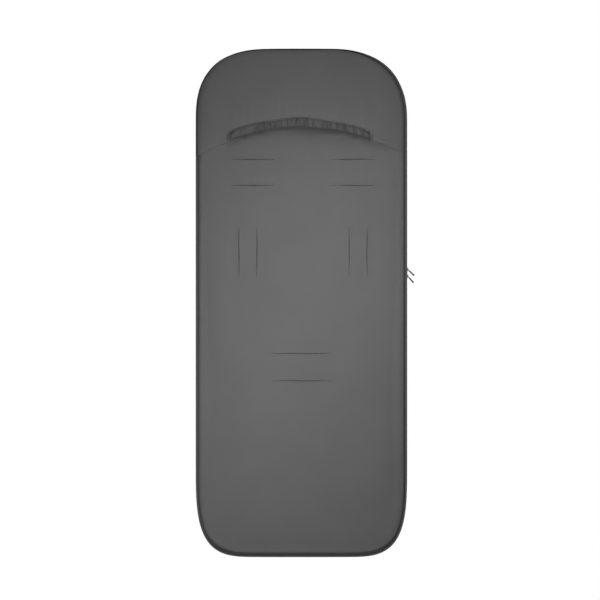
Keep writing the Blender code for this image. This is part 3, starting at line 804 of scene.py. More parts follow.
class Finish:
    """A material under construction, with short calls for the nodes that the finishes share."""

    def __init__(self, name, values):
        self.material = bpy.data.materials.new(name)
        self.material.use_nodes = True
        self.tree = self.material.node_tree
        self.shader = self.tree.nodes["Principled BSDF"]
        for socket, value in values.items():
            self.shader.inputs[socket].default_value = value
        self.coordinates = self.add("ShaderNodeTexCoord")

    def add(self, kind, inputs=None, **settings):
        return add_node(self.tree, kind, inputs, **settings)

    def math(self, operation, a, b=0.0, c=0.0):
        return self.add("ShaderNodeMath", {0: a, 1: b, 2: c}, operation=operation).outputs[0]

    def share(self, value, amount, rest=0.0):
        """A share of a value, on top of the rest."""
        return self.math("MULTIPLY_ADD", value, amount, rest)

    def vector(self, operation, a, b=(0, 0, 0)):
        return self.add("ShaderNodeVectorMath", {0: a, 1: b}, operation=operation).outputs[0]

    def noise(self, scale, detail=2.0, roughness=0.5):
        """Unevenness between 0 and 1, with so many cells to the metre."""
        inputs = {
            "Vector": self.coordinates.outputs["Object"],
            "Scale": scale,
            "Detail": detail,
            "Roughness": roughness,
        }
        return self.add("ShaderNodeTexNoise", inputs).outputs["Fac"]

    def weave(self, thread):
        """Height of threads that pass over and under each other, on whichever way the cloth faces."""
        turns = math.pi / thread
        waves = self.vector("MULTIPLY", self.coordinates.outputs["Object"], (turns, turns, turns))
        x, y, z = self.add("ShaderNodeSeparateXYZ", {0: self.vector("SINE", waves)}).outputs
        first = self.add("ShaderNodeCombineXYZ", {0: y, 1: x, 2: x}).outputs[0]
        second = self.add("ShaderNodeCombineXYZ", {0: z, 1: z, 2: y}).outputs[0]
        crossed = self.vector("MULTIPLY", first, second)
        facing = self.coordinates.outputs["Normal"]
        inputs = {0: crossed, 1: self.vector("MULTIPLY", facing, facing)}
        return self.add("ShaderNodeVectorMath", inputs, operation="DOT_PRODUCT").outputs["Value"]

    def ribs(self, across, slant):
        """Height of ribs on a piece's own map, so many to the metre."""
        place = self.add("ShaderNodeSeparateXYZ", {0: self.coordinates.outputs["UV"]}).outputs
        along = self.math("MULTIPLY_ADD", place[1], slant, place[0])
        return self.math("SINE", self.math("MULTIPLY", along, across * 2 * math.pi))

    def mixed(self, amount, low, high):
        """A colour between two, each a colour or another node's output."""
        mix = self.add("ShaderNodeMix", {0: amount}, data_type="RGBA")
        sockets = [socket for socket in mix.inputs if socket.type == "RGBA"]
        for socket, value in zip(sockets, (low, high)):
            if isinstance(value, bpy.types.NodeSocket):
                self.tree.links.new(value, socket)
            else:
                socket.default_value = (*value, 1)
        return next(output for output in mix.outputs if output.type == "RGBA")

    def colour(self, base, patchiness, spread):
        """Colours the surface around a base colour, by a patchiness from 0 to 1."""
        low = [part * (1 - spread) for part in base]
        high = [min(part * (1 + spread), 1) for part in base]
        mixed = self.mixed(patchiness, low, high)
        self.tree.links.new(mixed, self.shader.inputs["Base Color"])
        return mixed

    def shade(self, plain, dark, attribute):
        """Goes over to a darker colour, painted shade, where the mesh's attribute says so."""
        amount = self.add("ShaderNodeAttribute", attribute_name=attribute).outputs["Fac"]
        self.tree.links.new(self.mixed(amount, plain, dark), self.shader.inputs["Base Color"])

    def roughness(self, amount, low, high):
        """Roughness that goes from low to high as an amount goes from 0 to 1."""
        ranged = self.add("ShaderNodeMapRange", {"Value": amount, "To Min": low, "To Max": high})
        self.tree.links.new(ranged.outputs[0], self.shader.inputs["Roughness"])

    def bump(self, height, depth, strength):
        """Relief of a height between 0 and 1, so deep in metres."""
        made = self.add("ShaderNodeBump", {"Height": height, "Distance": depth, "Strength": strength})
        self.tree.links.new(made.outputs[0], self.shader.inputs["Normal"])


WOVEN = {"Sheen Weight": 0.12, "Sheen Roughness": 0.5, "Specular IOR Level": 0.22}
FLEECE = {"Sheen Weight": 0.4, "Sheen Roughness": 0.6, "Specular IOR Level": 0.15}
TAPE = {"Sheen Weight": 0.08, "Sheen Roughness": 0.5, "Specular IOR Level": 0.2}
THREAD = {"Sheen Weight": 0.1, "Sheen Roughness": 0.4, "Specular IOR Level": 0.3}
NYLON = {"Specular IOR Level": 0.45}
LACQUER = {"Specular IOR Level": 0.25}
RUBBER = {"Specular IOR Level": 0.1}
# Name of the mesh attribute that says how much painted shade a point has
PAINTED_SHADE_AMOUNT = "seam_shade"


def woven(name, base, thread, dark):
    """Matte woven polyester: fine threads, uneven fibres, soft patches of light and dark, and painted shade
    where the mesh marks it.
    """
    finish = Finish(name, WOVEN)
    patches = finish.noise(scale=9.0, detail=3.0, roughness=0.6)
    fibres = finish.noise(scale=1400.0)
    threads = finish.weave(thread)
    uneven = finish.share(fibres, 0.5, finish.share(patches, 0.5))
    plain = finish.colour(base, finish.share(threads, 0.12, uneven), spread=0.18)
    finish.shade(plain, dark, PAINTED_SHADE_AMOUNT)
    finish.roughness(fibres, low=0.78, high=0.94)
    relief = finish.share(threads, 0.5, finish.share(fibres, 0.7))
    finish.bump(relief, depth=0.00018, strength=0.7)
    return finish.material


def brushed(name, base):
    """Fleece lining: short curled fibres in tufts."""
    finish = Finish(name, FLEECE)
    tufts = finish.noise(scale=260.0, detail=3.0, roughness=0.65)
    hairs = finish.noise(scale=1500.0, detail=3.0, roughness=0.6)
    patches = finish.noise(scale=14.0)
    pile = finish.share(hairs, 0.35, tufts)
    tone = finish.share(patches, 0.4, finish.share(pile, 0.45))
    finish.colour(base, tone, spread=0.35)
    finish.roughness(hairs, low=0.88, high=1.0)
    finish.bump(pile, depth=0.0011, strength=0.8)
    return finish.material


def ribbed(name, base, ribs, slant):
    """Woven tape or webbing with ribs on its own map."""
    finish = Finish(name, TAPE)
    lines = finish.ribs(ribs, slant)
    fibres = finish.noise(scale=1500.0)
    finish.colour(base, finish.share(lines, 0.25, fibres), spread=0.22)
    finish.roughness(fibres, low=0.7, high=0.9)
    finish.bump(finish.share(fibres, 0.4, lines), depth=0.0002, strength=0.7)
    return finish.material


def twisted(name, base):
    """Sewing thread."""
    finish = Finish(name, THREAD)
    strands = finish.noise(scale=2600.0, detail=1.0)
    finish.colour(base, strands, spread=0.25)
    finish.roughness(strands, low=0.5, high=0.75)
    finish.bump(strands, depth=0.0001, strength=0.5)
    return finish.material


def moulded(name, base):
    """Nylon of the zip, a little worn."""
    finish = Finish(name, NYLON)
    wear = finish.noise(scale=700.0, detail=3.0)
    finish.colour(base, wear, spread=0.25)
    finish.roughness(wear, low=0.36, high=0.58)
    finish.bump(wear, depth=0.00005, strength=0.4)
    return finish.material


def lacquered(name, base):
    """Dark lacquered metal, a little rubbed."""
    finish = Finish(name, LACQUER)
    rubbed = finish.noise(scale=500.0, detail=4.0, roughness=0.6)
    finish.colour(base, rubbed, spread=0.3)
    finish.roughness(rubbed, low=0.38, high=0.6)
    finish.bump(finish.noise(scale=2200.0), depth=0.00003, strength=0.5)
    return finish.material


def grained(name, base):
    """Moulded rubber with a fine grain."""
    finish = Finish(name, RUBBER)
    grain = finish.noise(scale=1800.0, detail=3.0)
    finish.colour(base, finish.noise(scale=300.0), spread=0.15)
    finish.roughness(grain, low=0.6, high=0.8)
    finish.bump(grain, depth=0.00006, strength=0.6)
    return finish.material


# Width of a thread, ribs to the metre, and how far a twill's ribs slant
FINE_THREAD = 0.0005
PLAIN_THREAD = 0.0006
TAPE_RIBS = 900
TWILL_RIBS = 700
TWILL_SLANT = 0.8


def cloth(name):
    """One of the footmuff's finishes, made the first time that a piece asks for it."""
    made = bpy.data.materials.get(name)
    if made:
        return made
    c = colours()
    # The colour of the painted shade, which the woven cloths go over to where a mesh marks it
    dark = list(c.seam_dark)
    finishes = {
        "shell_weave": (woven, c.shell, PLAIN_THREAD, dark),
        "pocket_weave": (woven, c.pocket, PLAIN_THREAD, dark),
        "casing_weave": (woven, c.casing, FINE_THREAD, dark),
        "piping_weave": (woven, c.piping, FINE_THREAD, dark),
        "head_tape_weave": (woven, c.piping, FINE_THREAD, list(c.head_tape)),
        "fleece": (brushed, c.fleece),
        "cover_tape_cloth": (ribbed, c.cover_tape, TAPE_RIBS, 0),
        "zip_tape_twill": (ribbed, c.zip_tape, TWILL_RIBS, TWILL_SLANT),
        "elastic_webbing": (ribbed, c.elastic, TAPE_RIBS, 0),
        "twisted_thread": (twisted, c.thread),
        "zip_nylon": (moulded, c.nylon),
        "slider_lacquer": (lacquered, c.metal),
        "grained_rubber": (grained, c.rubber),
    }
    make, base, *rest = finishes[name]
    return make(name, list(base), *rest)


def paint_shade(obj, shade):
    """Marks how much painted shade a piece has, from 0 to 1, as shade(co) says."""
    marks = obj.data.attributes.new(PAINTED_SHADE_AMOUNT, "FLOAT", "POINT")
    marks.data.foreach_set("value", [shade(vert.co) for vert in obj.data.vertices])


NODE_WELD = 0.00001
BEVEL = {"segments": 3, "limit_method": "ANGLE", "angle_limit": math.radians(30)}


def finish_node(name, finish, rounding, coat=0.0):
    """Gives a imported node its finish, soft edges and the thickness of its coat. Its mesh stays."""
    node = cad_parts[name]
    modify(node, "joined", "WELD", merge_threshold=NODE_WELD)
    if coat:
        modify(node, "coat", "DISPLACE", strength=coat, mid_level=0)
    modify(node, "soft edges", "BEVEL", width=rounding, **BEVEL)
    if not node.material_slots:
        node.data.materials.append(finish)
    for slot in node.material_slots:
        slot.material = finish
    node.data.shade_smooth()


# Back panel
PAD_COLUMNS = 104
RIM_HALF = 0.0004
LINING_COLUMNS = 84

# Folds of the back's cloth: height, grain and seed. A rate below 1 draws small folds out upright, and
# puckers out level
BROAD_FOLD = (0.0010, 0.110, 3.0)
SMALL_FOLD = (0.0005, 0.045, 7.0)
SMALL_RATE = 0.6
EDGE_PUCKER = (0.0006, 0.018, 11.0)
PUCKER_RATE = 0.4

# Distances from the edge or from a slot over which folds, puckers and the hollow under the hem set in,
# and over which the puckers end
FOLD_FROM_EDGE = (0.008, 0.045)
FOLD_FROM_SLOT = (0.007, 0.022)
PUCKER_START = (0.006, 0.012)
PUCKER_END = (0.014, 0.040)
HOLLOW_FROM_SLOT = (0.007, 0.020)

# The pad is sewn down this far from its rim and its slots, and its swell sets in over these distances
BACK_SEWN = 0.007
SWELL_FROM_EDGE = (0.006, 0.024)
SWELL_FROM_SLOT = (0.007, 0.024)
SWELL_FROM_HEM = (0.006, 0.060)

# The lining's folds and the height of its puffs, and where they set in
LINING_FOLD = (0.0006, 0.060, 23.0)
LINING_FOLD_START = (0.008, 0.030)
LINING_PUFF = 0.0018
PUFF_FROM_SLOT = (0.008, 0.040)
PUFF_FROM_EDGE = (0.006, 0.040)

# Distance from the middle over which the hem's gathers fade
GATHER_REACH = (0.115, 0.150)

# Where the back gives way under the hem: its depth, its middle and half width across, and its distance
# below the hem and half width there
HOLLOW_DEPTH = 0.0024
HOLLOW_ACROSS = (0.035, 0.100)
HOLLOW_BELOW = (0.011, 0.016)


def slot_distance(slots, x, z):
    """Distance of a point from the nearest slot's line."""
    nearest = 1.0
    for _, centre, reach, upright in slots:
        a, b = (z - centre.z, x - centre.x) if upright else (x - centre.x, z - centre.z)
        nearest = min(nearest, math.hypot(max(abs(a) - reach, 0), b))
    return nearest


def back_relief(pattern, slots, x, z):
    """How far the back's cloth stands out from its plain form: soft folds that die out at its seams."""
    inset = pattern.inset_at(x, z)
    near = slot_distance(slots, x, z)
    free = smooth_step(*FOLD_FROM_EDGE, inset) * smooth_step(*FOLD_FROM_SLOT, near)
    folds = fold(x, z, BROAD_FOLD) + fold(x, z * SMALL_RATE, SMALL_FOLD)
    edge = fold(x * PUCKER_RATE, z, EDGE_PUCKER) * band(PUCKER_START, PUCKER_END, inset)
    below = pattern.hem_z(x) - z
    hollow = HOLLOW_DEPTH * hump(x, *HOLLOW_ACROSS) * hump(below, *HOLLOW_BELOW)
    hollow *= smooth_step(*HOLLOW_FROM_SLOT, near)
    return (folds * free + edge - hollow) * (1 - pattern.under_pocket(x, z))


# The painted shade of the groove beside the piping, from and to a distance inside the rim: it is wider at
# the foot end, and fainter on the left
SIDE_GROOVE = (0.0004, 0.0042)
FOOT_GROOVE = (0.0050, 0.0064)
FOOT_RISE = (0.010, 0.060)
LEFT_LINE_FADE = 0.35

# The painted shadow below the hem: how dark it is, how it fades, how far it reaches at least, and how
# much further round a middle, over a half width
HEM_SHADE = 0.85
HEM_SHADE_POWER = 1.2
HEM_SHADE_LEAST = 0.006
HEM_SHADE_MORE = 0.011
HEM_SHADE_SPAN = (0.010, 0.035)


def edge_shade(pattern, co):
    """Painted shade in the groove beside the back's piping, and painted shadow just below the pocket's hem.
    """
    beside = pattern.inset_at(co.x, co.z) - pattern.rim
    foot = 1 - smooth_step(*FOOT_RISE, co.z - pattern.foot)
    groove = [side + (end - side) * foot for side, end in zip(SIDE_GROOVE, FOOT_GROOVE)]
    reach = HEM_SHADE_LEAST + HEM_SHADE_MORE * hump(co.x, *HEM_SHADE_SPAN)
    below = max(pattern.hem_z(co.x) - co.z, 0) / reach
    gathered = 1 - smooth_step(*GATHER_REACH, abs(co.x))
    hem = HEM_SHADE * gathered * max(1 - below, 0) ** HEM_SHADE_POWER
    line = 1 - LEFT_LINE_FADE * (1 - foot) * (co.x < 0)
    return max(line * (1 - smooth_step(*groove, beside)), hem)


class FOOTMUFF_OT_back_pad(bpy.types.Operator):
    """Make the back panel's outer cloth over its padding, with a hole for each harness slot"""

    bl_idname = "footmuff.back_pad"
    bl_label = "Back pad"

    def execute(self, context):
        p = Pattern()
        slots = p.slots()
        middle = p.seam + p.piping_radius / 2
        lift = p.lining + SURFACE_GAP

        def outer(x, z):
            if p.inset_at(x, z) <= p.rim + WELD:
                return middle - RIM_HALF
            under = p.under_pocket(x, z)
            pressed = p.back_y(x, z, -ROLL_IN * p.roll(x) * under) + POCKET_PRESS * under
            return min(pressed, middle - RIM_HALF)

        def inner(x, z):
            inset = p.inset_at(x, z)
            return p.lining_y(inset) - lift if inset > p.rim + WELD else middle + RIM_HALF

        bm, outside = closed_pad(p, outer, inner, 0, p.head, PAD_COLUMNS)

        def pinned(co):
            return min(p.inset_at(co.x, co.z) - p.rim, slot_distance(slots, co.x, co.z)) < BACK_SEWN

        def free(co, normal):
            if normal.y > 0:
                return 0.0
            edge = smooth_step(*SWELL_FROM_EDGE, p.inset_at(co.x, co.z))
            slot = smooth_step(*SWELL_FROM_SLOT, slot_distance(slots, co.x, co.z))
            return edge * slot * smooth_step(*SWELL_FROM_HEM, p.hem_z(co.x) - co.z)

        pad_out(bm, p, cloth("shell_weave"), pinned, p.pad_swell, free)
        bm.verts.ensure_lookup_table()
        for vert in bm.verts[:outside]:
            x, _, z = vert.co
            vert.co.y -= back_relief(p, slots, x, z)
        pad = new_object("back_pad", bm, cloth("shell_weave"))
        cut_slots(pad, p)
        smooth_to_folds(pad)
        # Painted shade in the groove beside the piping, and a painted shadow below the hem
        paint_shade(pad, lambda co: edge_shade(p, co))
        dress(pad, "back_panel", "shell_cloth", "back_shell", "back_wadding")
        return {"FINISHED"}


class FOOTMUFF_OT_back_lining(bpy.types.Operator):
    """Make the back panel's fleece lining"""

    bl_idname = "footmuff.back_lining"
    bl_label = "Back lining"

    def execute(self, context):
        p = Pattern()
        slots = p.slots()

        def depth(x, z):
            inset = p.inset_at(x, z)
            near = slot_distance(slots, x, z)
            puffed = LINING_PUFF * smooth_step(*PUFF_FROM_SLOT, near) * smooth_step(*PUFF_FROM_EDGE, inset)
            uneven = fold(x, z, LINING_FOLD) * smooth_step(*LINING_FOLD_START, min(inset, near))
            return p.lining_y(inset) + puffed + uneven

        bm = panel_grid(p, p.rim, depth, p.head, LINING_COLUMNS)
        lining = new_object("back_lining_fleece", bm, cloth("fleece"))
        thicken(lining, p.lining, way=-1)
        cut_slots(lining, p)
        smooth_to_folds(lining)
        dress(lining, "back_panel", "lining_fleece", "back_lining")
        return {"FINISHED"}


# Harness slots

# Cross-section of a slot's lips on one side, from the back face's feathered edge over the fold and
# through the panel: distance from the slit, share of the panel's thickness, depth added to it, how far
# the slit stands open there, and how much it is bent aside
LIP_SECTION = [
    (0.0062, 0, 0.0005, 1, 0),
    (0.0048, 0, -0.00005, 1, 0),
    (0.0032, 0, -0.00032, 1, 0),
    (0.0018, 0, -0.00040, 1, 0),
    (0.0009, 0, -0.00012, 1, 0),
    (0.0003, 0, 0.0006, 1, 0),
    (0.0, 0, 0.0016, 0.5, 0.1),
    (0.0, 0, 0.0042, 0.2, 0.6),
    (0.0, 0.5, 0, 0.2, 1),
    (0.0, 1, -0.0042, 0.2, 0.6),
    (0.0, 1, -0.0012, 0.6, 0.1),
    (0.0004, 1, 0.0004, 1, 0),
    (0.0013, 1, 0.0010, 1, 0),
    (0.0028, 1, 0.0009, 1, 0),
    (0.0043, 1, 0.0004, 1, 0),
    (0.0057, 1, -0.0004, 1, 0),
    (0.0050, 1, -0.0012, 1, 0),
    (0.0030, 1, -0.0020, 0.4, 0.6),
    (0.0022, 0.5, 0, 0.2, 1),
    (0.0030, 0, 0.0020, 0.4, 0.6),
    (0.0050, 0, 0.0012, 1, 0),
]

# The slit's half width where it is shut, and how its opening closes towards its ends
CLOSED_GAP = 0.00008
OPEN_POWER = 1.5

# The folds narrow towards the slot's ends, those near the slit most: how much, from and to which distance
# from the slit, and over which shares of half the slot
LIP_NARROW = 0.8
NARROW_FOLDS = (0.0010, 0.0045)
NARROW_SHARES = (0.1, 0.95)

# How far the slit wanders aside, in how many cells of noise to half a slot, and how far apart the slots'
# seeds are
SLIT_WANDER = 0.0008
SLIT_CELLS = 1.6
SLIT_SEEDS = 3.7

# Distance from the slit of the stitches round it, on the lining
SLOT_SEWN = 0.0046

# The lips have painted shade inside the panel, where the slit is shaded: from and to a depth below its back
# face, and below its lining
LIP_DARK_BACK = (0.0008, 0.0030)
LIP_DARK_LINING = (-0.001, -0.003)


def lip_shade(pattern, co):
    """Painted shade of a slot's lips: none on both faces, and dark between them, inside the slit."""
    behind_back = smooth_step(*LIP_DARK_BACK, co.y)
    return behind_back * smooth_step(*LIP_DARK_LINING, co.y - pattern.back_inner)


class FOOTMUFF_OT_slot_lips(bpy.types.Operator):
    """Make the two folded lips of each harness slot, which stand shut through the whole panel"""

    bl_idname = "footmuff.slot_lips"
    bl_label = "Slot lips"

    def execute(self, context):
        p = Pattern()
        rows = len(LIP_SECTION)
        for number, (name, centre, reach, upright) in enumerate(p.slots()):
            loops = [self.loop(p, number, centre, reach, upright, part) for part in LIP_SECTION]
            around = len(loops[0])

            def place(u, v):
                row = round(v * rows) % rows
                x, z = loops[row][round(u * around) % around]
                _, part, added, _, _ = LIP_SECTION[row]
                return Vector((x, p.back_inner * part + added, z))

            bm = mapped_grid(around, rows, place)
            weld(bm, close_ends=False)
            sewn = slot_loop(centre, reach, upright, lambda s: SLOT_SEWN, lambda s: 0.0)
            line = Path([(x, p.back_inner + SURFACE_GAP, z) for x, z in sewn + sewn[:1]])
            stitches(bm, line, *PLAIN_STITCH)
            lips = new_object(name.replace("binding", "lips"), bm, cloth("shell_weave"))
            # Painted shade between the lips, inside the slit
            paint_shade(lips, lambda co: lip_shade(p, co))
            dress(lips, "back_panel", "binding_cloth", name)
        return {"FINISHED"}

    def loop(self, p, number, centre, reach, upright, part):
        """One line of the lips' cross-section, drawn round the slot."""
        offset, _, _, opened, bent = part
        narrow = LIP_NARROW * (1 - smooth_step(*NARROW_FOLDS, offset))

        def half_width(s):
            width = offset * (1 - narrow * smooth_step(*NARROW_SHARES, abs(s)))
            return CLOSED_GAP + width + opened * p.slot_gap * (1 - s * s) ** OPEN_POWER

        def bow(s):
            aside = noise.noise(Vector((s * SLIT_CELLS, number * SLIT_SEEDS, 1.0)))
            return p.slot_bend * bent + SLIT_WANDER * aside

        return slot_loop(centre, reach, upright, half_width, bow)


# Edges
CORD_STEP = 0.0035
CORD_SIDES = 10
CORD_PUCKER = 0.05
PUCKER_LENGTH = 0.006
FLANGE_HALF = 0.0003
FLANGE_SIDES = 6


def piping(name, pattern, path, body, node, seed):
    """Piping: a cord in folded cloth, with the strip by which it is sewn into the seam."""
    radius, flange = pattern.piping_radius, pattern.flange
    steps = round(path.length / CORD_STEP)

    def round_cord(distance, turn):
        reach = radius * puckered(distance / PUCKER_LENGTH, turn, seed, CORD_PUCKER)
        return reach * math.cos(turn), reach * math.sin(turn)

    def strip(distance, turn):
        wave = SURFACE_GAP * noise.noise(Vector((distance / PUCKER_LENGTH / 2, 0.0, seed)))
        across = flange / 2 * math.cos(turn) - radius / 2 - flange / 2
        return across, FLANGE_HALF * math.sin(turn) + radius / 3 + wave

    bm = skin(path, steps, CORD_SIDES, round_cord)
    skin(path, steps, FLANGE_SIDES, strip, bm)
    scale_map(bm, path.length, 2 * math.pi * radius)
    weld(bm)
    cord = new_object(name, bm, cloth("piping_weave"))
    dress(cord, body, "piping_cloth", node)


# The head's edge tape: its steps, the steps, seed and height of its puckers, and its depth for its width
HEAD_TAPE_STEP = 0.003
HEAD_PUCKER_STEPS = 3
HEAD_TAPE_SEED = 5.0
HEAD_TAPE_PUCKER = 0.08
HEAD_TAPE_TALL = 1.35

# How far it goes on below the hem and lies to the front of its seam, and how far up the piping goes on
HEAD_TAPE_END = 0.002
HEAD_TAPE_SHIFT = 0.0006
PIPING_TUCK = 0.0040


class FOOTMUFF_OT_back_edges(bpy.types.Operator):
    """Make the piping round the back panel and the tape round its head end"""

    bl_idname = "footmuff.back_edges"
    bl_label = "Back edges"

    def execute(self, context):
        p = Pattern()
        right, left = p.hem_z(p.half_width), p.hem_z(-p.half_width)
        path = p.foot_line(p.piping_radius, right + PIPING_TUCK, left + PIPING_TUCK, p.seam)
        piping("back_piping_cord", p, path, "back_panel", "back_piping", seed=1.0)
        radius = p.head_tape_radius
        depth = p.seam + HEAD_TAPE_SHIFT
        path = p.head_line(radius, left - HEAD_TAPE_END, right - HEAD_TAPE_END, depth)

        def section(distance, turn):
            grown = (p.piping_radius - radius) * p.roll(path.at(distance)[0].x)
            cells = distance / HEAD_TAPE_STEP / HEAD_PUCKER_STEPS
            folded = puckered(cells, turn, HEAD_TAPE_SEED, HEAD_TAPE_PUCKER)
            across = (radius + grown) * folded
            deep = (HEAD_TAPE_TALL * radius + grown) * folded
            return across * math.cos(turn) - grown, deep * math.sin(turn)

        bm = skin(path, round(path.length / HEAD_TAPE_STEP), CORD_SIDES, section)
        scale_map(bm, path.length, 2 * math.pi * radius)
        weld(bm)
        tape = new_object("head_edge_tape", bm, cloth("head_tape_weave"))
        # Painted shade: the thin tape on the left is darker, for the shaded seam line there, and the rolled
        # right keeps the piping's colour
        paint_shade(tape, lambda co: 1 - p.roll(co.x))
        dress(tape, "back_panel", "binding_cloth", "head_edge_binding")
        return {"FINISHED"}


# Seat-back pocket
POCKET_COLUMNS = 190
POCKET_GAP = 0.0022

# Slanting folds of the pocket's cloth, and how far inside its edge they set in
POCKET_FOLD = (0.0016, 0.085, 41.0)
POCKET_SLANT = 0.5
POCKET_FREE = (0.004, 0.050)

# Above the casing: the cloth's upright gathers, its puff, and the line where it is sewn down. Each rises
# and fades over two spans of height above the hem
GATHER = (0.0006, 0.0085, 31.0)
GATHER_RATE = 0.12
GATHER_SPANS = ((0.018, 0.028), (0.030, 0.085))
GATHER_PUFF = 0.0024
PUFF_SPANS = ((0.016, 0.036), (0.050, 0.110))
SEWN_SPANS = ((0.016, 0.019), (0.019, 0.024))

# The hem's plain ends are turned in: the step of that, its depth and how softly it ends
HEM_STEP = 0.0005
HEM_DEPTH = 0.0088
HEM_SOFT = (HEM_DEPTH - 0.0004, HEM_DEPTH + 0.0010)
HEM_ROW_STEPS = 12


def pocket_relief(pattern, x, z):
    """How far the pocket's cloth stands out from its plain form: gathers above the casing, and folds."""
    above = z - pattern.hem_z(x)
    free = smooth_step(*POCKET_FREE, pattern.inset_at(x, z))
    middle = 1 - smooth_step(*GATHER_REACH, abs(x))
    gathers = fold(x, z * GATHER_RATE, GATHER) * band(*GATHER_SPANS, above) * middle
    puff = GATHER_PUFF * middle * band(*PUFF_SPANS, above)
    sunk = 2 * SURFACE_GAP * middle * band(*SEWN_SPANS, above)
    folds = fold(x + z * POCKET_SLANT, z * POCKET_SLANT, POCKET_FOLD) * free
    turned = HEM_STEP * (1 - smooth_step(*HEM_SOFT, above)) * (1 - middle) * (1 - pattern.flush(x))
    return (gathers + puff) * free + folds + turned - sunk


# The pocket's painted shade line in the seam beside the thin tape, and beside the rolled edge: from and
# to an inset
TAPE_GROOVE = (0.0030, 0.0046)
ROLL_GROOVE = (0.0058, 0.0080)

# The painted shade line along its hem between the casing's right end and the side: height above the hem,
# how dark it is, and the widths over which it begins and ends
HEM_LINE = (0.0008, 0.0030)
HEM_LINE_SHADE = 0.50
HEM_LINE_SPANS = ((0.132, 0.140), (0.160, 0.172))


def pocket_shade(pattern, co):
    """Painted shade on the pocket's cloth beside the head end's edge, and along its hem on the right."""
    roll = pattern.roll(co.x)
    groove = [thin + (wide - thin) * roll for thin, wide in zip(TAPE_GROOVE, ROLL_GROOVE)]
    low = 1 - smooth_step(*HEM_LINE, co.z - pattern.hem_z(co.x))
    hem = HEM_LINE_SHADE * low * band(*HEM_LINE_SPANS, co.x)
    return max(1 - smooth_step(*groove, pattern.inset_at(co.x, co.z)), hem)


class FOOTMUFF_OT_pocket(bpy.types.Operator):
    """Make the seat-back pocket's panel, pulled in by its gathered hem"""

    bl_idname = "footmuff.pocket"
    bl_label = "Pocket"

    def execute(self, context):
        p = Pattern()
        inset = 2 * p.head_tape_radius - 2 * SURFACE_GAP
        low = p.hem_z(-p.half_width)
        heights = p.heights(inset, low, p.head, POCKET_GAP)
        last = len(heights) - 1
        span = heights[-1] - low

        def place(u, v):
            z = heights[round(v * last)]
            t = 2 * u - 1
            x = p.half_at(inset, z, math.copysign(1, t)) * t
            z += (p.hem_z(x) - low) * (1 - (z - low) / span)
            return Vector((x, p.pocket_y(x, z) - pocket_relief(p, x, z), z))

        pocket = new_object("pocket_cloth", mapped_grid(POCKET_COLUMNS, last, place), cloth("pocket_weave"))
        thicken(pocket, p.pocket_cloth, way=1)
        # Painted shade beside the head end's edge, and along the hem on the right
        paint_shade(pocket, lambda co: pocket_shade(p, co))
        dress(pocket, "back_panel", "shell_cloth", "pocket_panel")
        self.sew_sides(p)
        return {"FINISHED"}

    def sew_sides(self, p):
        """Stitches along the plain ends of the hem, either side of the casing."""

        def sewn(x):
            z = p.hem_z(x) + HEM_DEPTH
            return x, p.pocket_y(x, z) - pocket_relief(p, x, z), z

        bm = bmesh.new()
        outer = p.half_width - p.rim
        for start, end in ((-outer, CASING[0].x - p.rim), (CASING[1].x + p.rim, outer)):
            stitches(bm, sewn_row(start, end, HEM_ROW_STEPS, sewn), *PLAIN_STITCH)
        rows = new_object("pocket_hem_stitches", bm, cloth("pocket_weave"))
        dress(rows, "back_panel", "thread")


# Hem casing
CASING_COLUMNS = 560
CASING_ROWS = 18
CASING_CLOTH = 0.0005
CASING_PROUD = 0.0012
CASING_DROP = 0.0004

# The casing lies flat and is lower at its ends: over what width, and by which share of its height
CASING_END = 0.014
CASING_TAPER = 0.35

# How much its height changes with its rucks
CASING_UNEVEN = 0.0010

# Shares of its height over which it rounds up from the hem, and slopes down to the pocket
CASING_FOLD = 0.12
CASING_SLOPE = 0.40

# Its rucks. They swing aside, with a turn from hem to top and one to the metre along it. The broad and
# the fine ones each have a grain, a seed and a sharpness, a drift from hem to top, and a share. Where the
# cloth is slack, with a grain and a seed of its own, they are higher by a share
RUCK_SWING = 0.0012
RUCK_TURNS = (2.6, 60)
BROAD_RUCK = (0.0135, 51.0, 3.2)
BROAD_DRIFT = 0.004
FINE_RUCK = (0.0052, 57.0, 2.6)
FINE_DRIFT = 0.003
RUCK_SHARES = (0.6, 0.4)
SLACK_GRAIN = 0.030
SLACK_SEED = 59.0
SLACK_SHARE = 0.4

# How dark the painted shade in the rucks' valleys is, which share of that is left at the casing's ends,
# from and to which x the rest sets in on the left, and which heights of a ruck count as valley
CASING_CREASE = 0.85
CREASE_LEAST = 0.35
CASING_CREASE_START = (-0.130, -0.070)
VALLEY = (0.10, 0.90)

# The painted shade line along the hem, by shares of the casing's height: which share of it is left at
# the left end, and how much further up it reaches on the right, from and to which x
CASING_HEM = (0.08, 0.20)
CASING_HEM_LEAST = 0.4
CASING_LINE = 0.09
CASING_LINE_SPAN = (0.020, 0.060)

# The row of stitches along its top: their pitch and size, its distance below the top, and how far out
CASING_STITCH = (0.0030, (0.0011, 0.00032))
CASING_ROW = 0.0012
CASING_ROW_PROUD = CASING_PROUD * 0.7
CASING_ROW_STEPS = 120

# Elastic: its ribs' height and pitch. Tacks: the turns of thread, their slope and half width
ELASTIC_COLUMNS = 340
ELASTIC_ROWS = 8
ELASTIC_WIDTH = 0.0115
ELASTIC_RIB = (0.00012, 0.0016)
ELASTIC_THICK = 0.0006
TACK_TURNS = 26
TACK_SLOPE = 0.0003
TACK_HALF = 0.00045


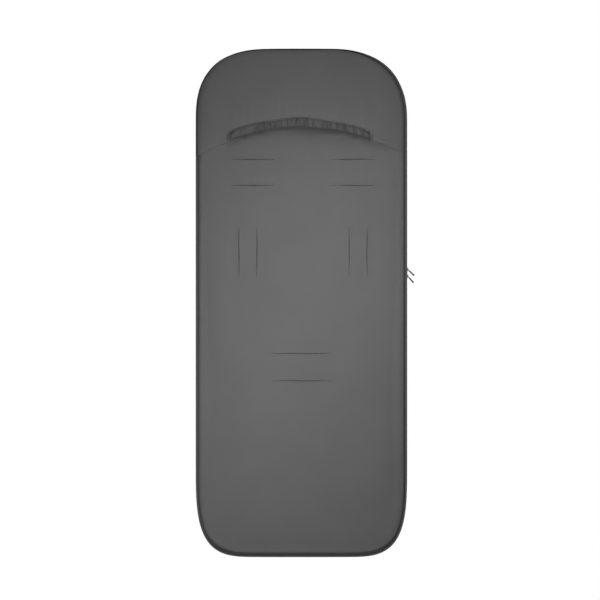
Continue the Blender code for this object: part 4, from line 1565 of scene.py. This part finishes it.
def casing_ruck(x, part):
    """Height of the casing's gathers, 0 to 1, at x and a part of the way up it."""
    upwards, along = RUCK_TURNS
    swing = RUCK_SWING * math.sin(part * upwards + x * along)
    broad = ridges(x + swing, part * BROAD_DRIFT, *BROAD_RUCK)
    fine = ridges(x - swing, part * FINE_DRIFT, *FINE_RUCK)
    slack = clamp(0.5 + noise.noise(Vector((x / SLACK_GRAIN, SLACK_SEED, 0.0))))
    both = RUCK_SHARES[0] * broad + RUCK_SHARES[1] * fine
    return both * (1 - SLACK_SHARE + SLACK_SHARE * slack)


def casing_ends(x):
    """0 at the casing's two ends, and 1 away from them."""
    return smooth_step(0.0, CASING_END, min(x - CASING[0].x, CASING[1].x - x))


def casing_shade(pattern, co):
    """Painted shade on the casing: in the valleys of its rucks, and along the hem."""
    part = (co.z - pattern.hem_z(co.x)) / pattern.casing_height(co.x)
    right = smooth_step(*CASING_LINE_SPAN, co.x)
    start, end = CASING_HEM
    hem = 1 - smooth_step(start + CASING_LINE * right, end + CASING_LINE * right, part)
    valley = 1 - smooth_step(*VALLEY, casing_ruck(co.x, part))
    ends = casing_ends(co.x)
    free = ends * smooth_step(*CASING_CREASE_START, co.x)
    crease = CASING_CREASE * (CREASE_LEAST + (1 - CREASE_LEAST) * free)
    tight = CASING_HEM_LEAST + (1 - CASING_HEM_LEAST) * max(ends, right)
    return max(hem * tight, crease * valley)


class FOOTMUFF_OT_hem_casing(bpy.types.Operator):
    """Make the gathered casing of the pocket's hem, its elastic and its end tacks"""

    bl_idname = "footmuff.hem_casing"
    bl_label = "Hem casing"

    def execute(self, context):
        p = Pattern()
        left, right = CASING[0].x, CASING[1].x
        face = -p.pocket_lift - SURFACE_GAP

        def place(u, v):
            x = left + (right - left) * u
            ends = casing_ends(x)
            ruck = casing_ruck(x, v)
            tall = p.casing_height(x) * (1 - CASING_TAPER * (1 - ends)) + CASING_UNEVEN * (ruck - 0.5)
            z = p.hem_z(x) - CASING_DROP + tall * v
            low, high = min(v / CASING_FOLD, 1), min((1 - v) / CASING_SLOPE, 1)
            rounded = math.sqrt(1 - (1 - low) ** 2) * smooth_step(0, 1, high)
            proud = CASING_CLOTH + (CASING_PROUD + p.ruck * ruck) * ends
            return Vector((x, face + CASING_CLOTH - rounded * proud, z))

        bm = mapped_grid(CASING_COLUMNS, CASING_ROWS, place)
        casing = new_object("hem_casing_ruched", bm, cloth("casing_weave"))
        thicken(casing, CASING_CLOTH, way=1)
        # Painted shade in the rucks' valleys and along the hem
        paint_shade(casing, lambda co: casing_shade(p, co))
        dress(casing, "back_panel", "casing_cloth", "pocket_hem_casing")
        rows = self.sew_casing(p, face)
        elastic = self.make_elastic(p, face)
        tacks = [self.make_tack(p, word, face) for word in ("left", "right")]
        return {"FINISHED"}

    def sew_casing(self, p, face):
        """The row of stitches that closes the casing along its upper edge."""

        def sewn(x):
            return x, face - CASING_ROW_PROUD, p.hem_z(x) + p.casing_height(x) - CASING_ROW

        bm = bmesh.new()
        row = sewn_row(CASING[0].x, CASING[1].x, CASING_ROW_STEPS, sewn)
        stitches(bm, row, *CASING_STITCH)
        rows = new_object("hem_casing_stitches", bm, cloth("twisted_thread"))
        return dress(rows, "back_panel", "thread")

    def make_elastic(self, p, face):
        """The ribbed elastic inside the casing."""
        low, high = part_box("pocket_elastic")
        margin = (p.hem_band - ELASTIC_WIDTH) / 2
        height, pitch = ELASTIC_RIB

        def place(u, v):
            x = low.x + (high.x - low.x) * u
            rib = height * math.sin(x / pitch * 2 * math.pi)
            return Vector((x, face - CASING_PROUD / 2 - rib, p.hem_z(x) + margin + ELASTIC_WIDTH * v))

        bm = mapped_grid(ELASTIC_COLUMNS, ELASTIC_ROWS, place)
        scale_map(bm, high.x - low.x, ELASTIC_WIDTH)
        elastic = new_object("hem_elastic_webbing", bm, cloth("elastic_webbing"))
        thicken(elastic, ELASTIC_THICK, way=1)
        return dress(elastic, "back_panel", "elastic", "pocket_elastic")

    def make_tack(self, p, word, face):
        """A bar tack: close stitches across the casing's end."""
        node = f"pocket_bartack_{word}"
        low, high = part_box(node)
        foot = p.hem_z((low.x + high.x) / 2) + CASING_DROP
        tall = p.hem_band * (1 - CASING_TAPER) - 2 * CASING_DROP
        bm = bmesh.new()
        for index in range(TACK_TURNS):
            z = foot + tall * index / (TACK_TURNS - 1)
            slope = TACK_SLOPE if index % 2 else -TACK_SLOPE
            line = Path([(low.x, face - CASING_PROUD, z - slope), (high.x, face - CASING_PROUD, z + slope)])
            stitches(bm, line, line.length, (line.length / 2, TACK_HALF))
        tack = new_object(f"hem_tack_{word}", bm, cloth("casing_weave"))
        return dress(tack, "back_panel", "thread", node)


# Zip
TAPE_STEP = 0.004
TAPE_ROWS = 10
TAPE_INSET = 0.0009
TAPE_THICK = 0.0009
TAPE_WAVE = (0.00012, 0.012, 61.0)

# How far each tape ends from the middle between the coils, how far inwards it lies at its seam, and over
# which shares of its width it turns along the side
TAPE_APART = 0.00005
TAPE_TUCK = 0.0030
TAPE_TURN = (0.0, 0.3)

# Coils: their inset, the wire's radius, half the width and depth of a turn, how much nearer each other
# they lie than packed, and the points of a turn and round the wire
COIL_INSET = 0.0014
COIL_WIRE = 0.00034
COIL_REACH = 0.0010
COIL_RISE = 0.0016
COIL_NEARER = 0.0002
COIL_POINTS = 8
COIL_SIDES = 4
STOP_ROUNDING = 0.0004


def zip_tape(name, pattern, seam, coil, body, node):
    """A woven tape from its seam's depth to its coil's, which turns along the side once out of the seam."""
    top = TAPE_BACK[1].z
    path = pattern.foot_line(TAPE_INSET, top, top, 0.0)

    def place(u, v):
        centre, way = path.at(path.length * u)
        tucked = (1 - smooth_step(*TAPE_TURN, v)) * TAPE_TUCK
        out = ripple(path.length * u, v, TAPE_WAVE) - tucked
        return centre + way.cross(Y_AXIS) * out + Y_AXIS * (seam + (coil - seam) * v)

    bm = mapped_grid(round(path.length / TAPE_STEP), TAPE_ROWS, place)
    scale_map(bm, path.length, abs(coil - seam))
    tape = new_object(name, bm, cloth("zip_tape_twill"))
    thicken(tape, TAPE_THICK, way=0)
    dress(tape, body, "zip_tape", node)


def zip_coil(name, pattern, depth, body, node, towards, phase):
    """A wound nylon coil along the tape's edge, half a pitch out of step with the other."""
    path = pattern.foot_line(COIL_INSET, pattern.zip_top, pattern.zip_top, depth)
    turns = round(path.length / pattern.coil_pitch)

    def place(u, v):
        centre, way = path.at(clamp(u) * path.length)
        turn = 2 * math.pi * (turns * u + phase)
        wire = COIL_WIRE * math.cos(2 * math.pi * v)
        out = (COIL_REACH + wire) * math.cos(turn)
        back = towards * (COIL_RISE + wire) * math.sin(turn)
        side = way.cross(Y_AXIS)
        return centre + side * out + Y_AXIS * back + way * COIL_WIRE * math.sin(2 * math.pi * v)

    bm = mapped_grid(turns * COIL_POINTS, COIL_SIDES, place)
    weld(bm)
    coil = new_object(name, bm, cloth("zip_nylon"))
    dress(coil, body, "zip_coil", node)


class FOOTMUFF_OT_zip(bpy.types.Operator):
    """Make both woven tapes and both wound coils of the zip, and finish its stops"""

    bl_idname = "footmuff.zip"
    bl_label = "Zip"

    def execute(self, context):
        p = Pattern()
        middle = (COIL_BACK[1].y + COIL_COVER[0].y) / 2
        near, far = TAPE_BACK[0].y, middle - TAPE_APART
        zip_tape("zip_tape_back_woven", p, near, far, "back_panel", "zip_tape_back")
        near, far = TAPE_COVER[1].y, middle + TAPE_APART
        zip_tape("zip_tape_cover_woven", p, near, far, "front_cover", "zip_tape_cover")
        back = (COIL_BACK[0].y + COIL_BACK[1].y) / 2 + COIL_NEARER
        cover = (COIL_COVER[0].y + COIL_COVER[1].y) / 2 - COIL_NEARER
        for word, depth, body, towards, phase in (
            ("back", back, "back_panel", 1, 0.0),
            ("cover", cover, "front_cover", -1, 0.5),
        ):
            zip_coil(f"zip_coil_{word}_wound", p, depth, body, f"zip_coil_{word}", towards, phase)
        for side in ("back", "cover"):
            for word in ("left", "right"):
                finish_node(f"zip_stop_{side}_{word}", cloth("zip_nylon"), STOP_ROUNDING)
        return {"FINISHED"}


# Front cover
COVER_COLUMNS = 104

# Folds of its outer cloth and puckers along its seam: height, grain and seed, and the distances from the
# seam and the top over which they set in and end
COVER_FOLDS = ((0.0024, 0.13, 71.0), (0.0009, 0.05, 73.0))
COVER_FOLD_START = (0.004, 0.030)
COVER_PUCKER = (0.0007, 0.018, 79.0)
COVER_PUCKER_END = (0.020, 0.050)

# The pad is sewn down this far from its seam and its top, and its swell sets in over these distances
COVER_SEWN = 0.005
SWELL_FROM_SEAM = (0.002, 0.016)
SWELL_FROM_TOP = (0.002, 0.022)

# The painted shade of the groove beside its piping, and the lining's folds with the inset over which they
# set in
COVER_GROOVE = (0.0005, 0.0045)
COVER_LINING_FOLD = (0.0010, 0.070, 83.0)
COVER_LINING_START = (0.016, 0.080)

# The tape over its top edge: how far it stands off the pad, its height, how square its section is, its
# ripples, its stitches and how far below its top they lie
TOP_TAPE_HALF = 0.0012
TOP_TAPE_TALL = 0.0150
TOP_TAPE_SQUARE = (0.55, 0.7)
TOP_TAPE_WAVE = (0.0002, 0.010, 91.0)
TOP_TAPE_STITCH = (0.0034, (0.0012, 0.00028))
TOP_TAPE_ROW = 0.0105
TOP_TAPE_COLUMNS = 160
TOP_TAPE_SIDES = 24
ARCH_STEPS = 96


class FOOTMUFF_OT_cover(bpy.types.Operator):
    """Make the front cover's padded dome, its fleece lining, piping and top edge tape"""

    bl_idname = "footmuff.cover"
    bl_label = "Front cover"

    def execute(self, context):
        p = Pattern()
        self.make_pad(p)
        self.make_lining(p)
        path = p.foot_line(p.piping_radius, p.cover_top, p.cover_top, p.cover_seam)
        piping("cover_piping_cord", p, path, "front_cover", "cover_piping", seed=2.0)
        self.make_top_tape(p)
        return {"FINISHED"}

    def make_pad(self, p):
        """The dome's outer cloth and its wadding, as one closed pad."""
        wall = p.cover_wall - p.lining - SURFACE_GAP

        def outer(x, z):
            return p.dome_y(p.inset_at(x, z), 0)

        def inner(x, z):
            return p.dome_y(p.inset_at(x, z), wall)

        bm, outside = closed_pad(p, outer, inner, wall, p.cover_top, COVER_COLUMNS)

        def inside(co):
            return co.y < p.dome_y(p.inset_at(co.x, co.z), wall / 2)

        def pinned(co):
            return min(co.y - p.cover_seam, p.cover_top - co.z) < COVER_SEWN or inside(co)

        def free(co, normal):
            if inside(co):
                return 0.0
            side = smooth_step(*SWELL_FROM_SEAM, co.y - p.cover_seam)
            return side * smooth_step(*SWELL_FROM_TOP, p.cover_top - co.z)

        pad_out(bm, p, cloth("shell_weave"), pinned, p.cover_swell, free)
        bm.normal_update()
        bm.verts.ensure_lookup_table()
        for vert in bm.verts[:outside]:
            x, y, z = vert.co
            rise = smooth_step(*COVER_FOLD_START, y - p.cover_seam)
            rise *= smooth_step(*COVER_FOLD_START, p.cover_top - z)
            soft = sum(fold(x, z, kind) for kind in COVER_FOLDS)
            beside = 1 - smooth_step(*COVER_PUCKER_END, y - p.cover_seam)
            edge = fold(x * PUCKER_RATE, z, COVER_PUCKER) * beside
            vert.co += vert.normal * rise * (soft + edge)
        pad = new_object("cover_pad", bm, cloth("shell_weave"))
        smooth_to_folds(pad)
        # Painted shade in the groove beside the cover's piping
        paint_shade(pad, lambda co: 1 - smooth_step(*COVER_GROOVE, co.y - p.cover_seam))
        dress(pad, "front_cover", "shell_cloth", "cover_shell", "cover_wadding")

    def make_lining(self, p):
        """The fleece inside the dome."""
        offset = p.cover_wall - p.lining

        def depth(x, z):
            inset = p.inset_at(x, z)
            folds = fold(x, z, COVER_LINING_FOLD) * smooth_step(*COVER_LINING_START, inset)
            return p.dome_y(inset, offset) + folds

        bm = panel_grid(p, p.rim + offset, depth, p.cover_top, COVER_COLUMNS)
        lining = new_object("cover_lining_fleece", bm, cloth("fleece"))
        thicken(lining, p.lining, way=-1)
        dress(lining, "front_cover", "lining_fleece", "cover_lining")

    def make_top_tape(self, p):
        """The tape folded over the cover's open top edge, and its row of stitches on each face."""
        middle = p.cover_wall / 2
        span = p.cover_reach - p.rim - middle
        points = []
        for step in range(ARCH_STEPS + 1):
            turn = math.pi * step / ARCH_STEPS
            side = 1 if step <= ARCH_STEPS / 2 else -1
            inset = p.cover_reach - span * abs(math.cos(turn))
            rise = (p.cover_crest - p.cover_seam - middle) * math.sin(turn)
            points.append((side * (p.half_width - inset), p.cover_seam + rise, p.cover_top))
        path = Path(points)
        half = middle + TOP_TAPE_HALF
        crest = COVER_BAND[1].z + SURFACE_GAP
        level, upright = TOP_TAPE_SQUARE

        def place(u, v):
            centre, way = path.at(path.length * u)
            turn = 2 * math.pi * v - math.pi
            across = squarer(math.sin(turn), level)
            lift = squarer(math.cos(turn), upright)
            reach = half + ripple(path.length * u, v, TOP_TAPE_WAVE)
            co = centre + way.cross(Z_AXIS) * reach * across
            return Vector((co.x, co.y, crest - TOP_TAPE_TALL / 2 * (1 - lift)))

        bm = mapped_grid(TOP_TAPE_COLUMNS, TOP_TAPE_SIDES, place)
        scale_map(bm, path.length, 4 * half + 2 * TOP_TAPE_TALL)
        weld(bm)
        tape = new_object("cover_edge_tape", bm, cloth("cover_tape_cloth"))
        dress(tape, "front_cover", "binding_cloth", "cover_top_binding")
        bm = bmesh.new()
        for side in (1, -1):
            row = []
            for point, way in zip(path.points, path.ways):
                out = way.cross(Z_AXIS) * side * half
                row.append((point.x + out.x, point.y + out.y, crest - TOP_TAPE_ROW))
            stitches(bm, Path(row), *TOP_TAPE_STITCH, flat=False)
        rows = new_object("cover_tape_stitches", bm, cloth("twisted_thread"))
        dress(rows, "front_cover", "thread")


# Sliders and pulls
METAL_ROUNDING = 0.00022
METAL_COAT = 0.00010
RUBBER_COAT = 0.00018


class FOOTMUFF_OT_sliders(bpy.types.Operator):
    """Finish both zip sliders in lacquered metal and both pulls in rubber"""

    bl_idname = "footmuff.sliders"
    bl_label = "Sliders and pulls"

    def execute(self, context):
        for word in ("upper", "lower"):
            finish_node(f"slider_body_{word}", cloth("slider_lacquer"), METAL_ROUNDING, METAL_COAT)
            finish_node(f"pull_{word}", cloth("grained_rubber"), METAL_ROUNDING, RUBBER_COAT)
        return {"FINISHED"}


# Stage. Each lamp's name, place, the point that it faces, the side of its square and its power
LAMPS = (
    ("upper", (0.062, -0.418, 0.204), (0.062, 0, 0.204), 0.3, "upper_power"),
    ("lower", (-0.090, -0.586, -0.170), (-0.090, 0, -0.170), 0.3, "lower_power"),
    ("overhead", (0.0, -0.50, 1.35), (0, 0, 0.25), 0.5, "over_power"),
    ("cover", (0.30, 1.30, 0.60), (0, 0.05, -0.05), 0.9, "cover_power"),
)
CAMERA_SENSOR = 36
CAMERA_END = 50
WHITE = (1, 1, 1, 1)
PALE = {"Base Color": (0.9, 0.9, 0.9, 1), "Roughness": 0.9, "Specular IOR Level": 0.1}


def seen_white(tree):
    """1 for what the camera, gloss or glass sees, and 0 for the light that falls on things."""
    rays = add_node(tree, "ShaderNodeLightPath").outputs
    seen = rays["Is Camera Ray"]
    for name in ("Is Glossy Ray", "Is Transmission Ray"):
        seen = add_node(tree, "ShaderNodeMath", {0: seen, 1: rays[name]}, operation="MAXIMUM").outputs[0]
    return seen


def mix_shaders(tree, amount, first, second):
    """The first shader, and the second where an amount is 1."""
    inputs = {0: amount, 1: first.outputs[0], 2: second.outputs[0]}
    return add_node(tree, "ShaderNodeMixShader", inputs)


class FOOTMUFF_OT_stage(bpy.types.Operator):
    """Make the camera at the photograph's view, the floor, the white surround and the lamps"""

    bl_idname = "footmuff.stage"
    bl_label = "Stage"

    def execute(self, context):
        stage = context.scene.footmuff_stage
        self.make_camera(context.scene, stage)
        self.make_world(context.scene, stage)
        self.make_floor(stage)
        for name, place, target, side, power in LAMPS:
            self.make_lamp(name, Vector(place), Vector(target), side, getattr(stage, power))
        context.scene.view_settings.view_transform = "Standard"
        return {"FINISHED"}

    def make_camera(self, scene, stage):
        """The camera that sees the back as the photograph does."""
        data = bpy.data.cameras.new("photo_view")
        data.lens = stage.lens
        data.sensor_width = CAMERA_SENSOR
        data.clip_end = CAMERA_END
        camera = add_object("photo_view", data)
        middle = (stage.picture_side - 1) / 2
        x = (middle - stage.middle_px) * stage.pixel
        z = sizes().foot + (stage.foot_px - middle) * stage.pixel
        away = stage.picture_side * stage.pixel * data.lens / data.sensor_width
        camera.location = (x, sizes().seam - away, z)
        camera.rotation_euler = (math.pi / 2, 0, 0)
        scene.camera = camera

    def make_world(self, scene, stage):
        """A white surround that lights only a little."""
        world = bpy.data.worlds.new("white_surround")
        world.use_nodes = True
        tree = world.node_tree
        ambient = tree.nodes["Background"]
        ambient.inputs["Color"].default_value = WHITE
        ambient.inputs["Strength"].default_value = stage.ambient
        white = add_node(tree, "ShaderNodeBackground", {"Color": WHITE})
        mix = mix_shaders(tree, seen_white(tree), ambient, white)
        tree.links.new(mix.outputs[0], tree.nodes["World Output"].inputs["Surface"])
        scene.world = world

    def make_floor(self, stage):
        """The floor, far below the footmuff."""
        bm = bmesh.new()
        bmesh.ops.create_grid(bm, x_segments=1, y_segments=1, size=stage.floor_side / 2)
        bmesh.ops.translate(bm, vec=(0, 0, stage.floor), verts=bm.verts)
        mesh = bpy.data.meshes.new("floor")
        bm.to_mesh(mesh)
        bm.free()
        mesh.materials.append(self.floor_finish(stage))
        floor = add_object("floor", mesh)

    def floor_finish(self, stage):
        """A pale floor that keeps the shadow near the footmuff and fades to white away from it."""
        finish = Finish("pale_floor", PALE)
        tree = finish.tree
        flat = finish.vector("MULTIPLY", finish.coordinates.outputs["Object"], (1, 1, 0))
        away = finish.add("ShaderNodeVectorMath", {0: flat}, operation="LENGTH").outputs["Value"]
        inputs = {"Value": away, "From Min": stage.shadow_from, "From Max": stage.shadow_to}
        fade = finish.add("ShaderNodeMapRange", inputs, interpolation_type="SMOOTHSTEP").outputs[0]
        white = finish.add("ShaderNodeEmission")
        top = mix_shaders(tree, finish.math("MULTIPLY", seen_white(tree), fade), finish.shader, white)
        facing = finish.add("ShaderNodeNewGeometry").outputs["Backfacing"]
        both = mix_shaders(tree, facing, top, finish.add("ShaderNodeBsdfTransparent"))
        tree.links.new(both.outputs[0], tree.nodes["Material Output"].inputs["Surface"])
        return finish.material

    def make_lamp(self, name, place, target, side, power):
        """A square lamp that faces its target and isn't seen itself."""
        data = bpy.data.lights.new(name, "AREA")
        data.shape = "SQUARE"
        data.size = side
        data.energy = power
        lamp = add_object(name, data)
        lamp.location = place
        lamp.rotation_euler = (target - place).to_track_quat("-Z", "Y").to_euler()
        lamp.visible_camera = False


OPERATORS = (
    FOOTMUFF_OT_stage,
    FOOTMUFF_OT_back_pad,
    FOOTMUFF_OT_back_lining,
    FOOTMUFF_OT_slot_lips,
    FOOTMUFF_OT_back_edges,
    FOOTMUFF_OT_pocket,
    FOOTMUFF_OT_hem_casing,
    FOOTMUFF_OT_zip,
    FOOTMUFF_OT_cover,
    FOOTMUFF_OT_sliders,
)


class FOOTMUFF_PT_pieces(bpy.types.Panel):
    """Lists the footmuff's pieces, sizes, colours and stage"""

    bl_idname = "FOOTMUFF_PT_pieces"
    bl_label = "Footmuff"
    bl_space_type = "VIEW_3D"
    bl_region_type = "UI"
    bl_category = "Footmuff"

    def draw(self, context):
        column = self.layout.column(align=True)
        for operator in OPERATORS:
            column.operator(operator.bl_idname)
        scene = context.scene
        for group in (scene.footmuff_sizes, scene.footmuff_colours, scene.footmuff_stage):
            box = self.layout.box()
            for name in group.__annotations__:
                box.prop(group, name)


CLASSES = (FootmuffSizes, FootmuffColours, FootmuffStage, *OPERATORS, FOOTMUFF_PT_pieces)


def register():
    for item in CLASSES:
        bpy.utils.register_class(item)
    bpy.types.Scene.footmuff_sizes = PointerProperty(type=FootmuffSizes)
    bpy.types.Scene.footmuff_colours = PointerProperty(type=FootmuffColours)
    bpy.types.Scene.footmuff_stage = PointerProperty(type=FootmuffStage)


def unregister():
    del bpy.types.Scene.footmuff_stage
    del bpy.types.Scene.footmuff_colours
    del bpy.types.Scene.footmuff_sizes
    for item in reversed(CLASSES):
        bpy.utils.unregister_class(item)


def main():
    register()
    for operator in OPERATORS:
        group, name = operator.bl_idname.split(".")
        if getattr(getattr(bpy.ops, group), name)() != {"FINISHED"}:
            raise RuntimeError(f"{operator.bl_label} couldn't be made")


if __name__ == "__main__":
    main()
